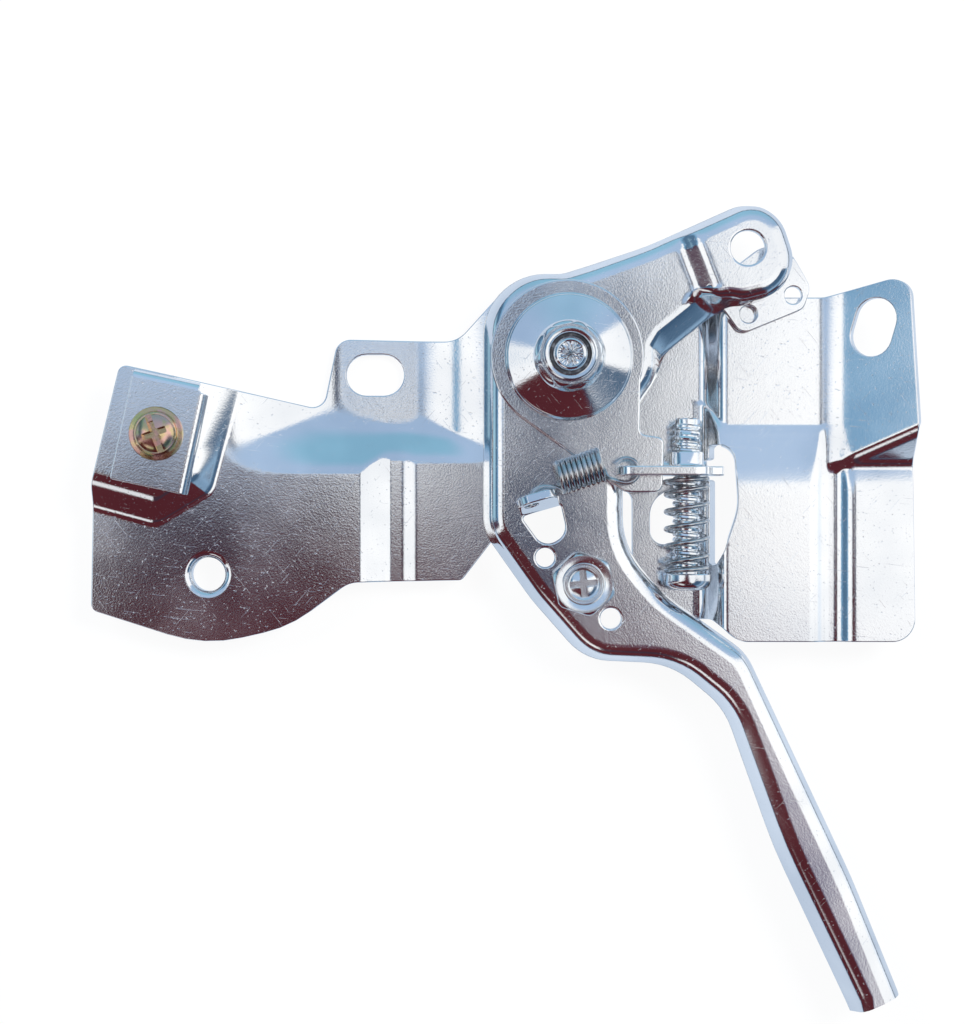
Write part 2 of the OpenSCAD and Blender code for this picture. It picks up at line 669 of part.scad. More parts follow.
module control_lever() color(zinc) {
    edge = outline(concat(handle_left, pivot_left, arm_end, arm_stop, handle_right));
    end_edge = inset(outline(concat([[20, 6.5, 0], [13, 19.3, 0]], arm_end)), 0.3);
    root = lever_t / 2;
    slope = pad_lift / (joggle[1] - joggle[0]);
    difference() {
        union() {
            difference() {
                tray(edge, [for (p = edge) flange_section(foot_at(p), lean_at(p), web_top)]);
                // Pocket under the arm's raised end
                intersection() {
                    linear_extrude(pad_top_z - lever_t)
                        polygon(inset(end_edge, bend_r));
                    rotate([0, 0, arm_turn])
                        translate([joggle[0] + 0.3, -far, 0])
                            cube([far, 2 * far, far]);
                }
            }
            // Raised end of the arm
            intersection() {
                tray(end_edge, [for (p = end_edge) flange_section(arm_under + 0.5, splay, pad_top_z)]);
                rotate([0, 0, arm_turn])
                    along_y([[joggle[0], web_top - lever_t / 2], [joggle[1], pad_top_z],
                             [far, pad_top_z + 1], [far, 0], [joggle[1], 0]], -far, far);
            }
            intersection() {
                linear_extrude(far)
                    polygon(inset(end_edge, lever_t));
                rotate([0, 0, arm_turn])
                    along_y([[joggle[0] - root, web_top - root * slope], [joggle[1], pad_top_z],
                             [joggle[1] + 1.5, pad_top_z - 0.2], [joggle[1] + 1.5, pad_top_z - lever_t + 0.2],
                             [joggle[1], pad_top_z - lever_t], [joggle[0] - 0.1, lever_z + 0.25],
                             [joggle[0] - root, lever_z + 0.5]], -far, far);
            }
            // Ear below the arm's end, joined to the foot of the arm's flange
            translate([0, 0, arm_under])
                linear_extrude(lever_t)
                    polygon(outline(ear_corners));
            // Lug beside the D-shaped hole, for the return spring
            translate([d_tab_at[0], d_tab_at[1], web_top])
                rotate([-d_tab_lean, 0, d_tab_turn])
                    rotate([90, 0, 0])
                        translate([0, 0, -lever_t / 2])
                            linear_extrude(lever_t)
                                difference() {
                                    polygon(outline([
                                        [-d_tab_w / 2, -lever_t * 0.7, 0], [-d_tab_w / 2, d_tab_h, 2.4],
                                        [d_tab_w / 2, d_tab_h, 2.4], [d_tab_w / 2, -lever_t * 0.7, 0]]));
                                    translate(d_tab_hole)
                                        circle(d = d_tab_hole_d);
                                }
            // Drawn collar that the hexagon bolt is screwed into
            translate([bolt_at[0], bolt_at[1], lever_z - thread_collar])
                cylinder(d = bolt_d + 2, h = thread_collar + lever_t / 2);
        }
        // Square end of the handle
        translate([tip[0][0], tip[0][1], 0])
            rotate([0, 0, atan2(tip[1][1] - tip[0][1], tip[1][0] - tip[0][0])])
                translate([-10, -20, -10])
                    cube([30, 20, 40]);
        translate([0, 0, lever_z - 5])
            cylinder(r = shoulder_d / 2 + pivot_play, h = 20);
        translate([0, 0, lever_z - 1])
            linear_extrude(lever_t + 2)
                polygon(outline(d_hole));
        translate([bolt_at[0], bolt_at[1], 0])
            cylinder(d = bolt_d, h = far);
        translate([-4.1, -34.8, 0])
            cylinder(d = cable_hole_a, h = far);
        translate([7.3, -45.4, 0])
            cylinder(d = cable_hole_b, h = far);
        translate([arm_hole[0], arm_hole[1], lever_z])
            cylinder(d = arm_hole_d, h = far);
        for (at = ear_holes)
            translate([at[0], at[1], 0])
                cylinder(d = ear_hole_d, h = lever_z);
    }
}

// Hexagon bolt with a round recess and a cross slot
module lever_bolt() color(zinc) {
    head = 4;
    translate([bolt_at[0], bolt_at[1], web_top])
        difference() {
            union() {
                intersection() {
                    cylinder(d = bolt_af / cos(30), h = head, $fn = 6);
                    cylinder(d1 = bolt_af / cos(30) + 5, d2 = bolt_af * 1.02, h = head);
                }
                translate([0, 0, -bolt_l])
                    cylinder(d = bolt_d, h = bolt_l + cut);
            }
            translate([0, 0, head - 1.4])
                cylinder(d = bolt_af * 0.68, h = 3);
            for (a = [0, 90])
                rotate([0, 0, a])
                    translate([-2.3, -0.6, head - 3])
                        cube([4.6, 1.2, 3]);
        }
}

// Cable clamp

clamp_at = [-71.6, -13.3];
clamp_turn = -12.2;
clamp_near = 0.53 * clamp_l;
clamp_far = clamp_l - clamp_near;
clamp_screw_l = clamp_t + clamp_gap + base_t + thread_collar + 0.6;

// Plate with a side flange that rests on the seat, and an end that hooks over the seat's edge
module cable_clamp() color(zinc) {
    drop = clamp_gap;
    translate([clamp_at[0], clamp_at[1], clamp_z])
        rotate([0, 0, clamp_turn])
            difference() {
                union() {
                    translate([-clamp_w / 2, -clamp_near, 0])
                        cube([clamp_w, clamp_l, clamp_t]);
                    translate([clamp_w / 2, -clamp_near, -drop])
                        cube([1.1, clamp_l, drop + clamp_t * 0.8]);
                    translate([-clamp_w / 2, clamp_far, -drop])
                        cube([clamp_w + 1.1, 1.9, drop + clamp_t * 0.8]);
                    translate([-clamp_w * 0.08, clamp_far, -drop])
                        cube([clamp_w * 0.4, 3, clamp_t]);
                }
                translate([0, 0, -5])
                    cylinder(d = clamp_screw_d + 0.4, h = 10);
            }
}

// Pan head clamp screw with a slot and a cross
module clamp_screw() color(yellow_zinc)
    translate([clamp_at[0], clamp_at[1], clamp_z + clamp_t])
        rotate([0, 0, 20])
            difference() {
                union() {
                    pan_head(clamp_head_d, 3);
                    translate([0, 0, -clamp_screw_l])
                        cylinder(d = clamp_screw_d, h = clamp_screw_l + cut);
                }
                cross_slot(2);
                translate([-0.6, -clamp_head_d, 1.8])
                    cube([1.2, 2 * clamp_head_d, 2]);
            }

// Head with a flat seat, a short wall and a crowned top
module pan_head(d, h) {
    rotate_extrude()
        polygon(concat(
            [[0, 0], [d / 2 - 0.2, 0]],
            [for (a = [0:15:90]) [d / 2 - h * 0.6 + h * 0.6 * cos(a), h * 0.4 + h * 0.6 * sin(a)]],
            [[0, h]]));
}

module cross_slot(depth) {
    for (a = [0, 90])
        rotate([0, 0, a])
            translate([-2.1, -0.55, 3 - depth])
                cube([4.2, 1.1, depth + 1]);
}

// Limit screw and its spring

head_y = tab_y + screw_collar + 5.8 - screw_l;

module limit_screw() color(zinc)
    translate([screw_x, head_y, screw_z])
        rotate([90, 0, 0])
            difference() {
                union() {
                    pan_head(head_d, head_h);
                    translate([0, 0, -screw_l + 0.6])
                        cylinder(d = screw_d, h = screw_l - 0.6 + cut);
                    translate([0, 0, -screw_l])
                        cylinder(d1 = screw_d - 1.2, d2 = screw_d, h = 0.6);
                }
                translate([-0.6, -head_d, head_h - 1.4])
                    cube([1.2, 2 * head_d, 2]);
                cross_slot(2);
            }

// Compression spring between the spring tab and the screw's head; the closed end
// turns take a small share of its length each
function along(k) =
    let (end = 0.9 / limit_turns, lead = 0.06)
    k < end ? lead * k / end :
    k > 1 - end ? 1 - lead * (1 - k) / end :
    lead + (1 - 2 * lead) * (k - end) / (1 - 2 * end);
module limit_spring() color(wire_steel) {
    y0 = tab_y - base_t - limit_wire / 2 - 0.05;
    y1 = head_y + limit_wire / 2 + 0.05;
    r = (limit_od - limit_wire) / 2;
    steps = 14 * limit_turns;
    wire([for (i = [0:steps])
        let (a = 360 * limit_turns * i / steps)
        [screw_x + r * cos(a), y0 + (y1 - y0) * along(i / steps), screw_z + r * sin(a)]],
        limit_wire / 2, [1, 0, 0]);
}

// Return spring from the lever's lug to the bracket's lug; both hooks lie flat

return_r = (return_od - return_wire) / 2;
hook_a = [d_tab_at[0] + d_tab_hole[0] * cos(d_tab_turn) - d_tab_hole[1] * sin(d_tab_lean) * sin(d_tab_turn),
          d_tab_at[1] + d_tab_hole[0] * sin(d_tab_turn) + d_tab_hole[1] * sin(d_tab_lean) * cos(d_tab_turn)];
hook_b = [tab_hole[0], tab_y - base_t / 2];
hook_r = [2.6, 2.1];
// The coil lies beside the line between the two hooks, because they leave it at one side
coil_mid = (hook_a + hook_b) / 2 + [-0.5, 2.6];
coil_turn = 18.2;
coil_l = return_turns * return_wire * 1.04;
function on_coil(d, a) = [
    coil_mid[0] + d * cos(coil_turn) - return_r * cos(a) * sin(coil_turn),
    coil_mid[1] + d * sin(coil_turn) + return_r * cos(a) * cos(coil_turn),
    return_z + return_r * sin(a)];
function on_hook(mid, r, a) = [mid[0] + r * cos(a), mid[1] + r * sin(a), return_z];

module return_spring() color(wire_steel) {
    mid_a = hook_a + [hook_r[0], 0];
    mid_b = hook_b - [hook_r[1], 0];
    wire(concat(
        [for (a = [195:-25:70]) on_hook(mid_a, hook_r[0], a)],
        [on_hook(mid_a, hook_r[0] + 0.6, 53), on_hook(mid_a, hook_r[0] + 1, 38)],
        [for (i = [0:12 * return_turns]) on_coil(coil_l * (i / 12 / return_turns - 0.5), 180 - 30 * i)],
        [on_hook(mid_b, hook_r[1] + 0.35, -122)],
        [for (a = [-100:25:150]) on_hook(mid_b, hook_r[1], a)]), return_wire / 2, [0, 0, 1]);
}

base_plate();
pivot_stud();
cone_spring();
spacer();
control_lever();
tongue_washer();
lock_nut();
nut_ring();
lever_bolt();
cable_clamp();
clamp_screw();
limit_screw();
limit_spring();
return_spring();
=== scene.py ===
"""Dressed throttle control assembly: stamped bracket, hand lever, pivot stack, screws and springs."""

import math

import bmesh
import bpy
import numpy as np
from mathutils import Matrix, Vector
from mathutils.geometry import delaunay_2d_cdt


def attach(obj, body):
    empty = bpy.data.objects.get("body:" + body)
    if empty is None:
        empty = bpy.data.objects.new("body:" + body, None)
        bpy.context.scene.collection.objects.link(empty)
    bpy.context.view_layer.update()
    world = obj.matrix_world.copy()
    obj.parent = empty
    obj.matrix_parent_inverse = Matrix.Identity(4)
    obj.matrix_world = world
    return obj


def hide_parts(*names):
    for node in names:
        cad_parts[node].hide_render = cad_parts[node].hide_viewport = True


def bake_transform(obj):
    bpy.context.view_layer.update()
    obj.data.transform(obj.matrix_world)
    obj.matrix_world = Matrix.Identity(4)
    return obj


bl_info = {
    "name": "Throttle Control Assembly",
    "version": (1, 0, 0),
    "blender": (4, 5, 0),
    "location": "View3D > Sidebar > Throttle",
    "description": "Builds the dressed throttle control on its packed frame",
    "category": "Mesh",
}

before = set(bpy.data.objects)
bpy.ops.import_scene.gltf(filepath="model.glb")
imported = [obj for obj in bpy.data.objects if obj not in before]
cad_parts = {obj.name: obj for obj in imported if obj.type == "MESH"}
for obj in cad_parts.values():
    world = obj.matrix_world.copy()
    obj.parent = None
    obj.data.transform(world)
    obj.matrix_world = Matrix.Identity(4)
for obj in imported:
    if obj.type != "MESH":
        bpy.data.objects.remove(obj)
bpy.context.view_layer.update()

MM = 0.001

# Sizes in millimetres, in the frame of the pivot axis and the middle web's top face
SHEET = 1.6
LEVER_Z = 6.0
WEB_TOP = 7.6
WASHER_T = 1.5
DOME_TOP = 11.5
NUT_TOP = 17.5
STUD_END = 16.9
PAD_TOP = -3.0
LEFT_TOP = 1.6
SEAT_TOP = 5.1
RIGHT_TOP = 3.0
FIELD_TOP = 4.4
TAB_SLOPE = math.radians(27)
FOLD_X = 46.3
LUG_Y = -19.0
LUG_BEND = 1.2
RETURN_Z = 12.8
LUG_TOP = 15.2
LUG_HOOK_X = 11.8
SCREW_L = 27.0
SCREW_D = 5.0
SCREW_COLLAR = 2.6
SCREW_STANDOUT = 5.8
SCREW = (20.6, LUG_Y + SCREW_COLLAR + SCREW_STANDOUT - SCREW_L, 6.2)
CLAMP = (-71.6, -13.3, 6.7)
CLAMP_TURN = math.radians(-12.2)
BOLT = (2.5, -39.3)
ARM_TURN = math.radians(20.9)
JOGGLE = (25.2, 28.0)
PAD_LIFT = 2.0
ARM_UNDER = 3.6
HOOK_LUG = (-5.1, -25.8)
HOOK_LUG_TURN = math.radians(16)
HOOK_LUG_LEAN = math.radians(12)
HOOK_HOLE = (-1.4, (RETURN_Z - WEB_TOP) / math.cos(HOOK_LUG_LEAN))

# Share of the pitch that a thread's ridge takes, and the scratches as (turn, fineness across)
RIDGE_SHARE = 0.43
SCRATCHES = ((0.9, 4200), (2.3, 5200), (0.12, 4800))

# The photo's camera
SENSOR = 36.0
PHOTO_WIDTH = 965
FOCAL_PIXELS = 2260


# ---- outlines


def length(v):
    return math.hypot(v[0], v[1])


def rounded(corners, step=9.0, gap=0.8, bare=()):
    """Closed outline through (x, y, radius) corners, with long straight runs cut to gap."""
    points = []
    n = len(corners)
    for i, (bx, by, r) in enumerate(corners):
        b = np.array([bx, by], float)
        if r <= 0:
            points.append(b)
            continue
        u = np.array(corners[i - 1][:2], float) - b
        w = np.array(corners[(i + 1) % n][:2], float) - b
        u, w = u / length(u), w / length(w)
        half = math.acos(max(-1.0, min(1.0, float(u @ w)))) / 2
        mid = b + (u + w) / length(u + w) * r / math.sin(half)
        p, q = b + u * r / math.tan(half) - mid, b + w * r / math.tan(half) - mid
        turn = math.atan2(p[0] * q[1] - p[1] * q[0], float(p @ q))
        steps = max(2, math.ceil(abs(turn) / math.radians(step if r > 2 else max(step, 18))))
        for k in range(steps + 1):
            a = turn * k / steps
            c, s = math.cos(a), math.sin(a)
            points.append(mid + np.array([p[0] * c - p[1] * s, p[0] * s + p[1] * c]))
    return spaced(points, gap, bare)


def spaced(points, gap, bare=()):
    """The closed outline with every run longer than gap cut into equal parts, but not in bare circles."""
    out = []
    n = len(points)
    for i in range(n):
        a, b = points[i], points[(i + 1) % n]
        cuts = max(1, math.ceil(length(b - a) / gap - 0.2)) if gap else 1
        cut = [a + (b - a) * k / cuts for k in range(cuts)]
        out += cut[:1] + [p for p in cut[1:] if all(length(p - c[:2]) > c[2] for c in np.array(bare, float))]
    keep = [p for i, p in enumerate(out) if length(p - out[i - 1]) > 0.02]
    return np.array(keep)


def round_hole(x, y, r, steps=48):
    angles = np.linspace(0, 2 * math.pi, steps, endpoint=False)
    return np.c_[x + r * np.cos(angles), y + r * np.sin(angles)]


def slot_hole(x, y, long, wide, turn=0.0, squeeze=1.0, steps=14):
    """A slot with round ends; squeeze foreshortens it in X where its sheet slopes."""
    half = (long - wide) / 2
    ends = []
    for side in (1, -1):
        for a in np.linspace(-90, 90, steps):
            a = math.radians(a) + (0 if side > 0 else math.pi)
            ends.append([side * half + wide / 2 * math.cos(a), wide / 2 * math.sin(a)])
    p = np.array(ends)
    c, s = math.cos(turn), math.sin(turn)
    return np.c_[x + (p[:, 0] * c - p[:, 1] * s) * squeeze, y + p[:, 0] * s + p[:, 1] * c]


def area(loop):
    x, y = loop[:, 0], loop[:, 1]
    return float((x * np.roll(y, -1) - np.roll(x, -1) * y).sum() / 2)


def inside(points, loop):
    """Which points lie inside a closed outline."""
    x, y = points[:, 0], points[:, 1]
    found = np.zeros(len(points), bool)
    for (x0, y0), (x1, y1) in zip(np.roll(loop, 1, 0), loop):
        if y0 != y1:
            found ^= ((y0 > y) != (y1 > y)) & (x < (x1 - x0) * (y - y0) / (y1 - y0) + x0)
    return found


def mitres(loop):
    """Outward mitre at each point of an outline that keeps the metal at its left."""
    a, b = loop - np.roll(loop, 1, 0), np.roll(loop, -1, 0) - loop
    a /= np.linalg.norm(a, axis=1)[:, None]
    b /= np.linalg.norm(b, axis=1)[:, None]
    na, nb = np.c_[a[:, 1], -a[:, 0]], np.c_[b[:, 1], -b[:, 0]]
    m = na + nb
    m /= np.linalg.norm(m, axis=1)[:, None]
    return m / np.maximum((m * na).sum(1), 0.35)[:, None]


def wound(loop, way=1):
    """The outline run with its inside at its left, or at its right for a way of -1."""
    return loop if area(loop) * way > 0 else loop[::-1]


def bridged(rows):
    """Faces between rows of point numbers that each run round an outline."""
    faces = []
    for a, b in zip(rows, rows[1:]):
        for i in range(len(a)):
            j = (i + 1) % len(a)
            faces.append((a[i], b[i], b[j], a[j]))
    return faces


def in_metal(points, loops):
    """Which points lie inside the first outline and outside the others."""
    found = inside(points, loops[0])
    for hole in loops[1:]:
        found &= ~inside(points, hole)
    return found


def clearance(points, others, chunk=100):
    """Distance squared from each point to the nearest of the others."""
    near = np.full(len(points), np.inf)
    for k in range(0, len(others), chunk):
        near = np.minimum(near, ((points[:, None] - others[None, k : k + chunk]) ** 2).sum(2).min(1))
    return near


def staggered(loop, pitch, start):
    """Triangular grid over an outline's box; start is where it begins, in pitches from the box's corner."""
    lo, hi = loop.min(0), loop.max(0)
    rows = []
    for k, y in enumerate(np.arange(lo[1] + pitch * start[1], hi[1], pitch * 0.866)):
        x = np.arange(lo[0] + pitch * (start[0] + 0.5 * (k % 2)), hi[0], pitch)
        rows.append(np.c_[x, np.full(len(x), y)])
    return np.vstack(rows)


def fill(loops, pitch, extra=None):
    """Triangles inside the first outline and outside the others; the outlines' points come first."""
    fixed = np.vstack(loops if extra is None else [*loops, extra])
    grid = staggered(loops[0], pitch, (0.3, 0.5))
    grid = grid[in_metal(grid, loops)]
    points = np.vstack([fixed, grid[clearance(grid, fixed) > (0.62 * pitch) ** 2]])
    edges, base = [], 0
    for loop in loops:
        n = len(loop)
        edges += [(base + i, base + (i + 1) % n) for i in range(n)]
        base += n
    _, _, faces, source, _, _ = delaunay_2d_cdt([Vector(p) for p in points], edges, [], 0, 1e-6)
    tris = np.array([[source[k][0] for k in face] for face in faces])
    tris = tris[in_metal(points[tris].mean(1), loops)]
    a, b, c = (points[tris[:, k]] for k in range(3))
    turned_over = (b[:, 0] - a[:, 0]) * (c[:, 1] - a[:, 1]) < (b[:, 1] - a[:, 1]) * (c[:, 0] - a[:, 0])
    tris[turned_over] = tris[turned_over][:, ::-1]
    return points, tris


# ---- meshes


class Skin:
    """Vertices, faces and face-corner normals of one piece, in millimetres."""

    def __init__(self):
        self.verts, self.faces, self.normals = [], [], []

    def add(self, verts, faces, normals=None, smooth=35.0, matrix=None):
        """Adds a closed shell. normals has one row a vertex, or is worked out with edges kept sharp."""
        verts = np.asarray(verts, float)
        faces = [tuple(int(k) for k in face) for face in faces]
        if normals is None:
            corners = corner_normals(verts, faces, smooth)
        else:
            normals = np.asarray(normals, float)
            corners = [normals[k] for face in faces for k in face]
        corners = np.asarray(corners, float)
        if matrix is not None:
            turn = np.array(matrix.to_3x3())
            verts = verts @ turn.T + np.array(matrix.translation)
            corners = corners @ turn.T
        base = len(self.verts)
        self.verts += [tuple(v) for v in verts]
        self.faces += [tuple(base + k for k in face) for face in faces]
        self.normals += [tuple(n) for n in corners]

    def add_sheet(self, outer, holes, surface, t, pitch, matrix=None, **more):
        """Adds a stamped sheet; see sheet()."""
        verts, faces, normals, _, _ = sheet(outer, holes, surface, t, pitch, **more)
        self.add(verts, faces, normals, matrix=matrix)

    def add_mesh(self, mesh, scale=1.0, matrix=None):
        verts = [tuple(v.co / scale) for v in mesh.vertices]
        self.add(verts, [tuple(p.vertices) for p in mesh.polygons], matrix=matrix)


def corner_normals(verts, faces, smooth):
    """Face-corner normals, smooth over edges that fold less than smooth degrees."""
    mesh = bpy.data.meshes.new("corners")
    mesh.from_pydata([tuple(v) for v in verts], [], faces)
    mesh.shade_smooth()
    mesh.set_sharp_from_angle(angle=math.radians(smooth))
    found = np.empty(len(mesh.loops) * 3)
    mesh.corner_normals.foreach_get("vector", found)
    bpy.data.meshes.remove(mesh)
    return found.reshape(-1, 3)


def sheet(outer, holes, surface, t, pitch, edge=0.25, rimmed=True, extra=None):
    """Stamped sheet whose upper face lies on surface(xy), with rounded sheared edges.

    Returns vertices, faces, normals and, for a sheet whose outer edge is left open, the
    upper and lower points of that edge."""
    loops = [wound(outer)] + [wound(hole, -1) for hole in holes]
    ways = [mitres(loop) for loop in loops]
    inner = [loop - way * (edge if rimmed or k else 0) for k, (loop, way) in enumerate(zip(loops, ways))]
    flat, tris = fill(inner, pitch, extra)
    top, up = surface(flat)
    n = len(flat)
    verts, normals = [top, top - up * t], [up, -up]
    faces = [tuple(f) for f in tris] + [tuple(n + k for k in f[::-1]) for f in tris]
    turns = np.radians([30, 60, 90])
    rim = [(edge * math.sin(a) - edge, edge - edge * math.cos(a), a) for a in turns]
    rim += [(o, t - d, math.pi - a) for o, d, a in rim[::-1]]
    base, start = 2 * n, 0
    for k, (loop, way) in enumerate(zip(loops, ways)):
        m = len(loop)
        ids = np.arange(start, start + m)
        start += m
        if k == 0 and not rimmed:
            continue
        rows = [ids]
        for out, deep, a in rim:
            spot, normal = surface(loop + way * out)
            ahead, _ = surface(loop + way * (out + 0.02))
            side = ahead - spot
            side /= np.linalg.norm(side, axis=1)[:, None]
            verts.append(spot - normal * deep)
            normals.append(normal * math.cos(a) + side * math.sin(a))
            rows.append(np.arange(base, base + m))
            base += m
        faces += bridged([*rows, ids + n])
    rim = np.arange(len(loops[0]))
    return np.vstack(verts), faces, np.vstack(normals), rim, n + rim


def flat_surface(z):
    """A level surface for sheet()."""
    return lambda p: (np.c_[p, np.full(len(p), z)], np.tile([0.0, 0.0, 1.0], (len(p), 1)))


def raised_surface(height, step=0.02):
    """A surface for sheet() from heights over the plan."""

    def surface(p):
        x, y = p[:, 0], p[:, 1]
        dx = (height(x + step, y) - height(x - step, y)) / (2 * step)
        dy = (height(x, y + step) - height(x, y - step)) / (2 * step)
        up = np.c_[-dx, -dy, np.ones(len(x))]
        return np.c_[x, y, height(x, y)], up / np.linalg.norm(up, axis=1)[:, None]

    return surface


def creases(surface, loops, fine=0.34, turn=2.5, margin=0.5):
    """Points in the metal where the surface folds, for sheet()'s extra."""
    spots = staggered(loops[0], fine, (0, 0))
    spots = spots[in_metal(spots, loops)]
    bend = np.zeros(len(spots))
    for way in ((fine, 0), (0, fine)):
        _, a = surface(spots - np.array(way))
        _, b = surface(spots + np.array(way))
        bend = np.maximum(bend, np.degrees(np.arccos(np.clip((a * b).sum(1), -1, 1))))
    spots = spots[bend > turn]
    return spots[clearance(spots, np.vstack(loops)) > margin**2]


def turned(profile, steps=96):
    """Vertices and faces of a closed form turned about Z. profile is a list of (r, z) points, or
    gives one for an angle, with the metal at its left."""
    shape = profile if callable(profile) else lambda angle: profile
    rows = [shape(2 * math.pi * i / steps) for i in range(steps)]
    m = len(rows[0])
    ring = np.linspace(0, 2 * math.pi, steps, endpoint=False)
    bm = bmesh.new()
    grid = [
        [bm.verts.new((r * math.cos(a), r * math.sin(a), z)) for r, z in row] for a, row in zip(ring, rows)
    ]
    for i in range(steps):
        for j in range(m):
            k, q = (i + 1) % steps, (j + 1) % m
            bm.faces.new((grid[i][j], grid[k][j], grid[k][q], grid[i][q]))
    bmesh.ops.remove_doubles(bm, verts=bm.verts, dist=1e-4)
    bmesh.ops.dissolve_degenerate(bm, dist=1e-5, edges=bm.edges)
    return emptied(bm)


def emptied(bm):
    bm.normal_update()
    bm.verts.index_update()
    verts = [tuple(v.co) for v in bm.verts]
    faces = [tuple(v.index for v in f.verts) for f in bm.faces]
    bm.free()
    return verts, faces


def prism(loop, low, high):
    """Straight prism over an outline."""
    loop = wound(loop)
    n = len(loop)
    verts = [(*p, low) for p in loop] + [(*p, high) for p in loop]
    faces = [tuple(range(n - 1, -1, -1)), tuple(range(n, 2 * n))]
    faces += [(i, (i + 1) % n, n + (i + 1) % n, n + i) for i in range(n)]
    return verts, faces


def carved(form, cutters):
    """The form with each cutter taken out of it; forms are vertices and faces."""
    body = loose_object("carved", *form)
    tools = [loose_object("cutter", *cutter) for cutter in cutters]
    for tool in tools:
        cut = body.modifiers.new("cut", "BOOLEAN")
        cut.operation, cut.solver, cut.object = "DIFFERENCE", "EXACT", tool
    bm = bmesh.new()
    bm.from_mesh(body.evaluated_get(bpy.context.evaluated_depsgraph_get()).to_mesh())
    bmesh.ops.remove_doubles(bm, verts=bm.verts, dist=1e-4)
    made = emptied(bm)
    for obj in [body, *tools]:
        dropped(obj)
    return made


def linked(name, data):
    """A new object of some data, in the scene."""
    obj = bpy.data.objects.new(name, data)
    bpy.context.collection.objects.link(obj)
    return obj


def dropped(obj):
    """Removes an object and its data."""
    data = obj.data
    bpy.data.objects.remove(obj)
    (bpy.data.curves if isinstance(data, bpy.types.Curve) else bpy.data.meshes).remove(data)


def loose_object(name, verts, faces):
    mesh = bpy.data.meshes.new(name)
    mesh.from_pydata([tuple(v) for v in verts], [], faces)
    return linked(name, mesh)


def posed(spot, turn=0.0, axis="Z"):
    """Place and turn of a form."""
    return Matrix.Translation(spot) @ Matrix.Rotation(turn, 4, axis)


def piece(name, skin, body, slot, node):
    """A finished piece in metres that stands for its CAD node and rides on a body, if one is given."""
    mesh = bpy.data.meshes.new(name)
    mesh.from_pydata([tuple(c * MM for c in v) for v in skin.verts], [], skin.faces)
    mesh.validate(verbose=False)
    if len(mesh.loops) != len(skin.normals):
        raise RuntimeError(f"{name}: a face is made twice")
    mesh.shade_smooth()
    mesh.normals_split_custom_set(skin.normals)
    mesh.materials.append(finish(slot))
    obj = linked(name, mesh)
    if body:
        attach(obj, body)
    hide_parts(node)
    return obj


# ---- node trees


class Nodes:
    """Short hand for building a node tree."""

    def __init__(self, tree):
        self.nodes, self.links = tree.nodes, tree.links
        self.nodes.clear()

    def put(self, value, socket):
        if hasattr(value, "is_output"):
            self.links.new(value, socket)
        elif isinstance(value, (tuple, list)) and len(value) == 3 and len(socket.default_value) == 4:
            socket.default_value = (*value, 1)
        else:
            socket.default_value = value

    def node(self, kind, inputs, **settings):
        """A new node with its settings, and with its inputs by name or number."""
        made = self.nodes.new(kind)
        for label, value in settings.items():
            setattr(made, label, value)
        for label, value in inputs.items():
            self.put(value, made.inputs[label])
        return made

    def span(self, value, low, high, to_low=0.0, to_high=1.0):
        """Eased step that goes from to_low at low to to_high at high."""
        if low > high:
            low, high, to_low, to_high = high, low, to_high, to_low
        inputs = {"Value": value, "From Min": low, "From Max": high, "To Min": to_low, "To Max": to_high}
        return self.node("ShaderNodeMapRange", inputs, interpolation_type="SMOOTHSTEP").outputs[0]

    def maths(self, kind, a, b=0):
        return self.node("ShaderNodeMath", {0: a, 1: b}, operation=kind).outputs[0]

    def product(self, first, *others):
        for other in others:
            first = self.maths("MULTIPLY", first, other)
        return first

    def mix(self, factor, a, b):
        return self.node("ShaderNodeMix", {"Factor": factor, 6: a, 7: b}, data_type="RGBA").outputs[2]

    def mix_shader(self, factor, a, b):
        return self.node("ShaderNodeMixShader", {0: factor, 1: a, 2: b}).outputs[0]


def tree_with(name, *sockets):
    """A geometry node group with the given inputs; returns it, its nodes and its inputs' sockets."""
    tree = bpy.data.node_groups.new(name, "GeometryNodeTree")
    ends = ("Geometry", "NodeSocketGeometry", None), ("Material", "NodeSocketMaterial", None)
    for label, kind, value in (ends[0], *sockets, ends[1]):
        made = tree.interface.new_socket(label, in_out="INPUT", socket_type=kind)
        if value is not None:
            made.default_value = value
    tree.interface.new_socket("Geometry", in_out="OUTPUT", socket_type="NodeSocketGeometry")
    n = Nodes(tree)
    return tree, n, n.nodes.new("NodeGroupInput").outputs


def round_section(n, path, radius, sides, material):
    """Ends a tree with a round section along a path, smooth, made real and with its material."""
    ring = n.node("GeometryNodeCurvePrimitiveCircle", {"Resolution": sides, "Radius": radius})
    along = {"Curve": path, "Profile Curve": ring.outputs["Curve"], "Fill Caps": True}
    skin = n.node("GeometryNodeCurveToMesh", along)
    smooth = n.node("GeometryNodeSetShadeSmooth", {"Geometry": skin.outputs[0]})
    real = n.node("GeometryNodeRealizeInstances", {0: smooth.outputs[0]})
    paint = n.node("GeometryNodeSetMaterial", {"Geometry": real.outputs[0], "Material": material})
    n.node("NodeGroupOutput", {0: paint.outputs[0]})


def wire_tree():
    """Round wire that follows the curve it is given."""
    radius, sides = ("Wire Radius", "NodeSocketFloat", 0.0004), ("Sides", "NodeSocketInt", 14)
    tree, n, given = tree_with("Wire Along Path", radius, sides)
    round_section(n, given["Geometry"], given["Wire Radius"], given["Sides"], given["Material"])
    return tree


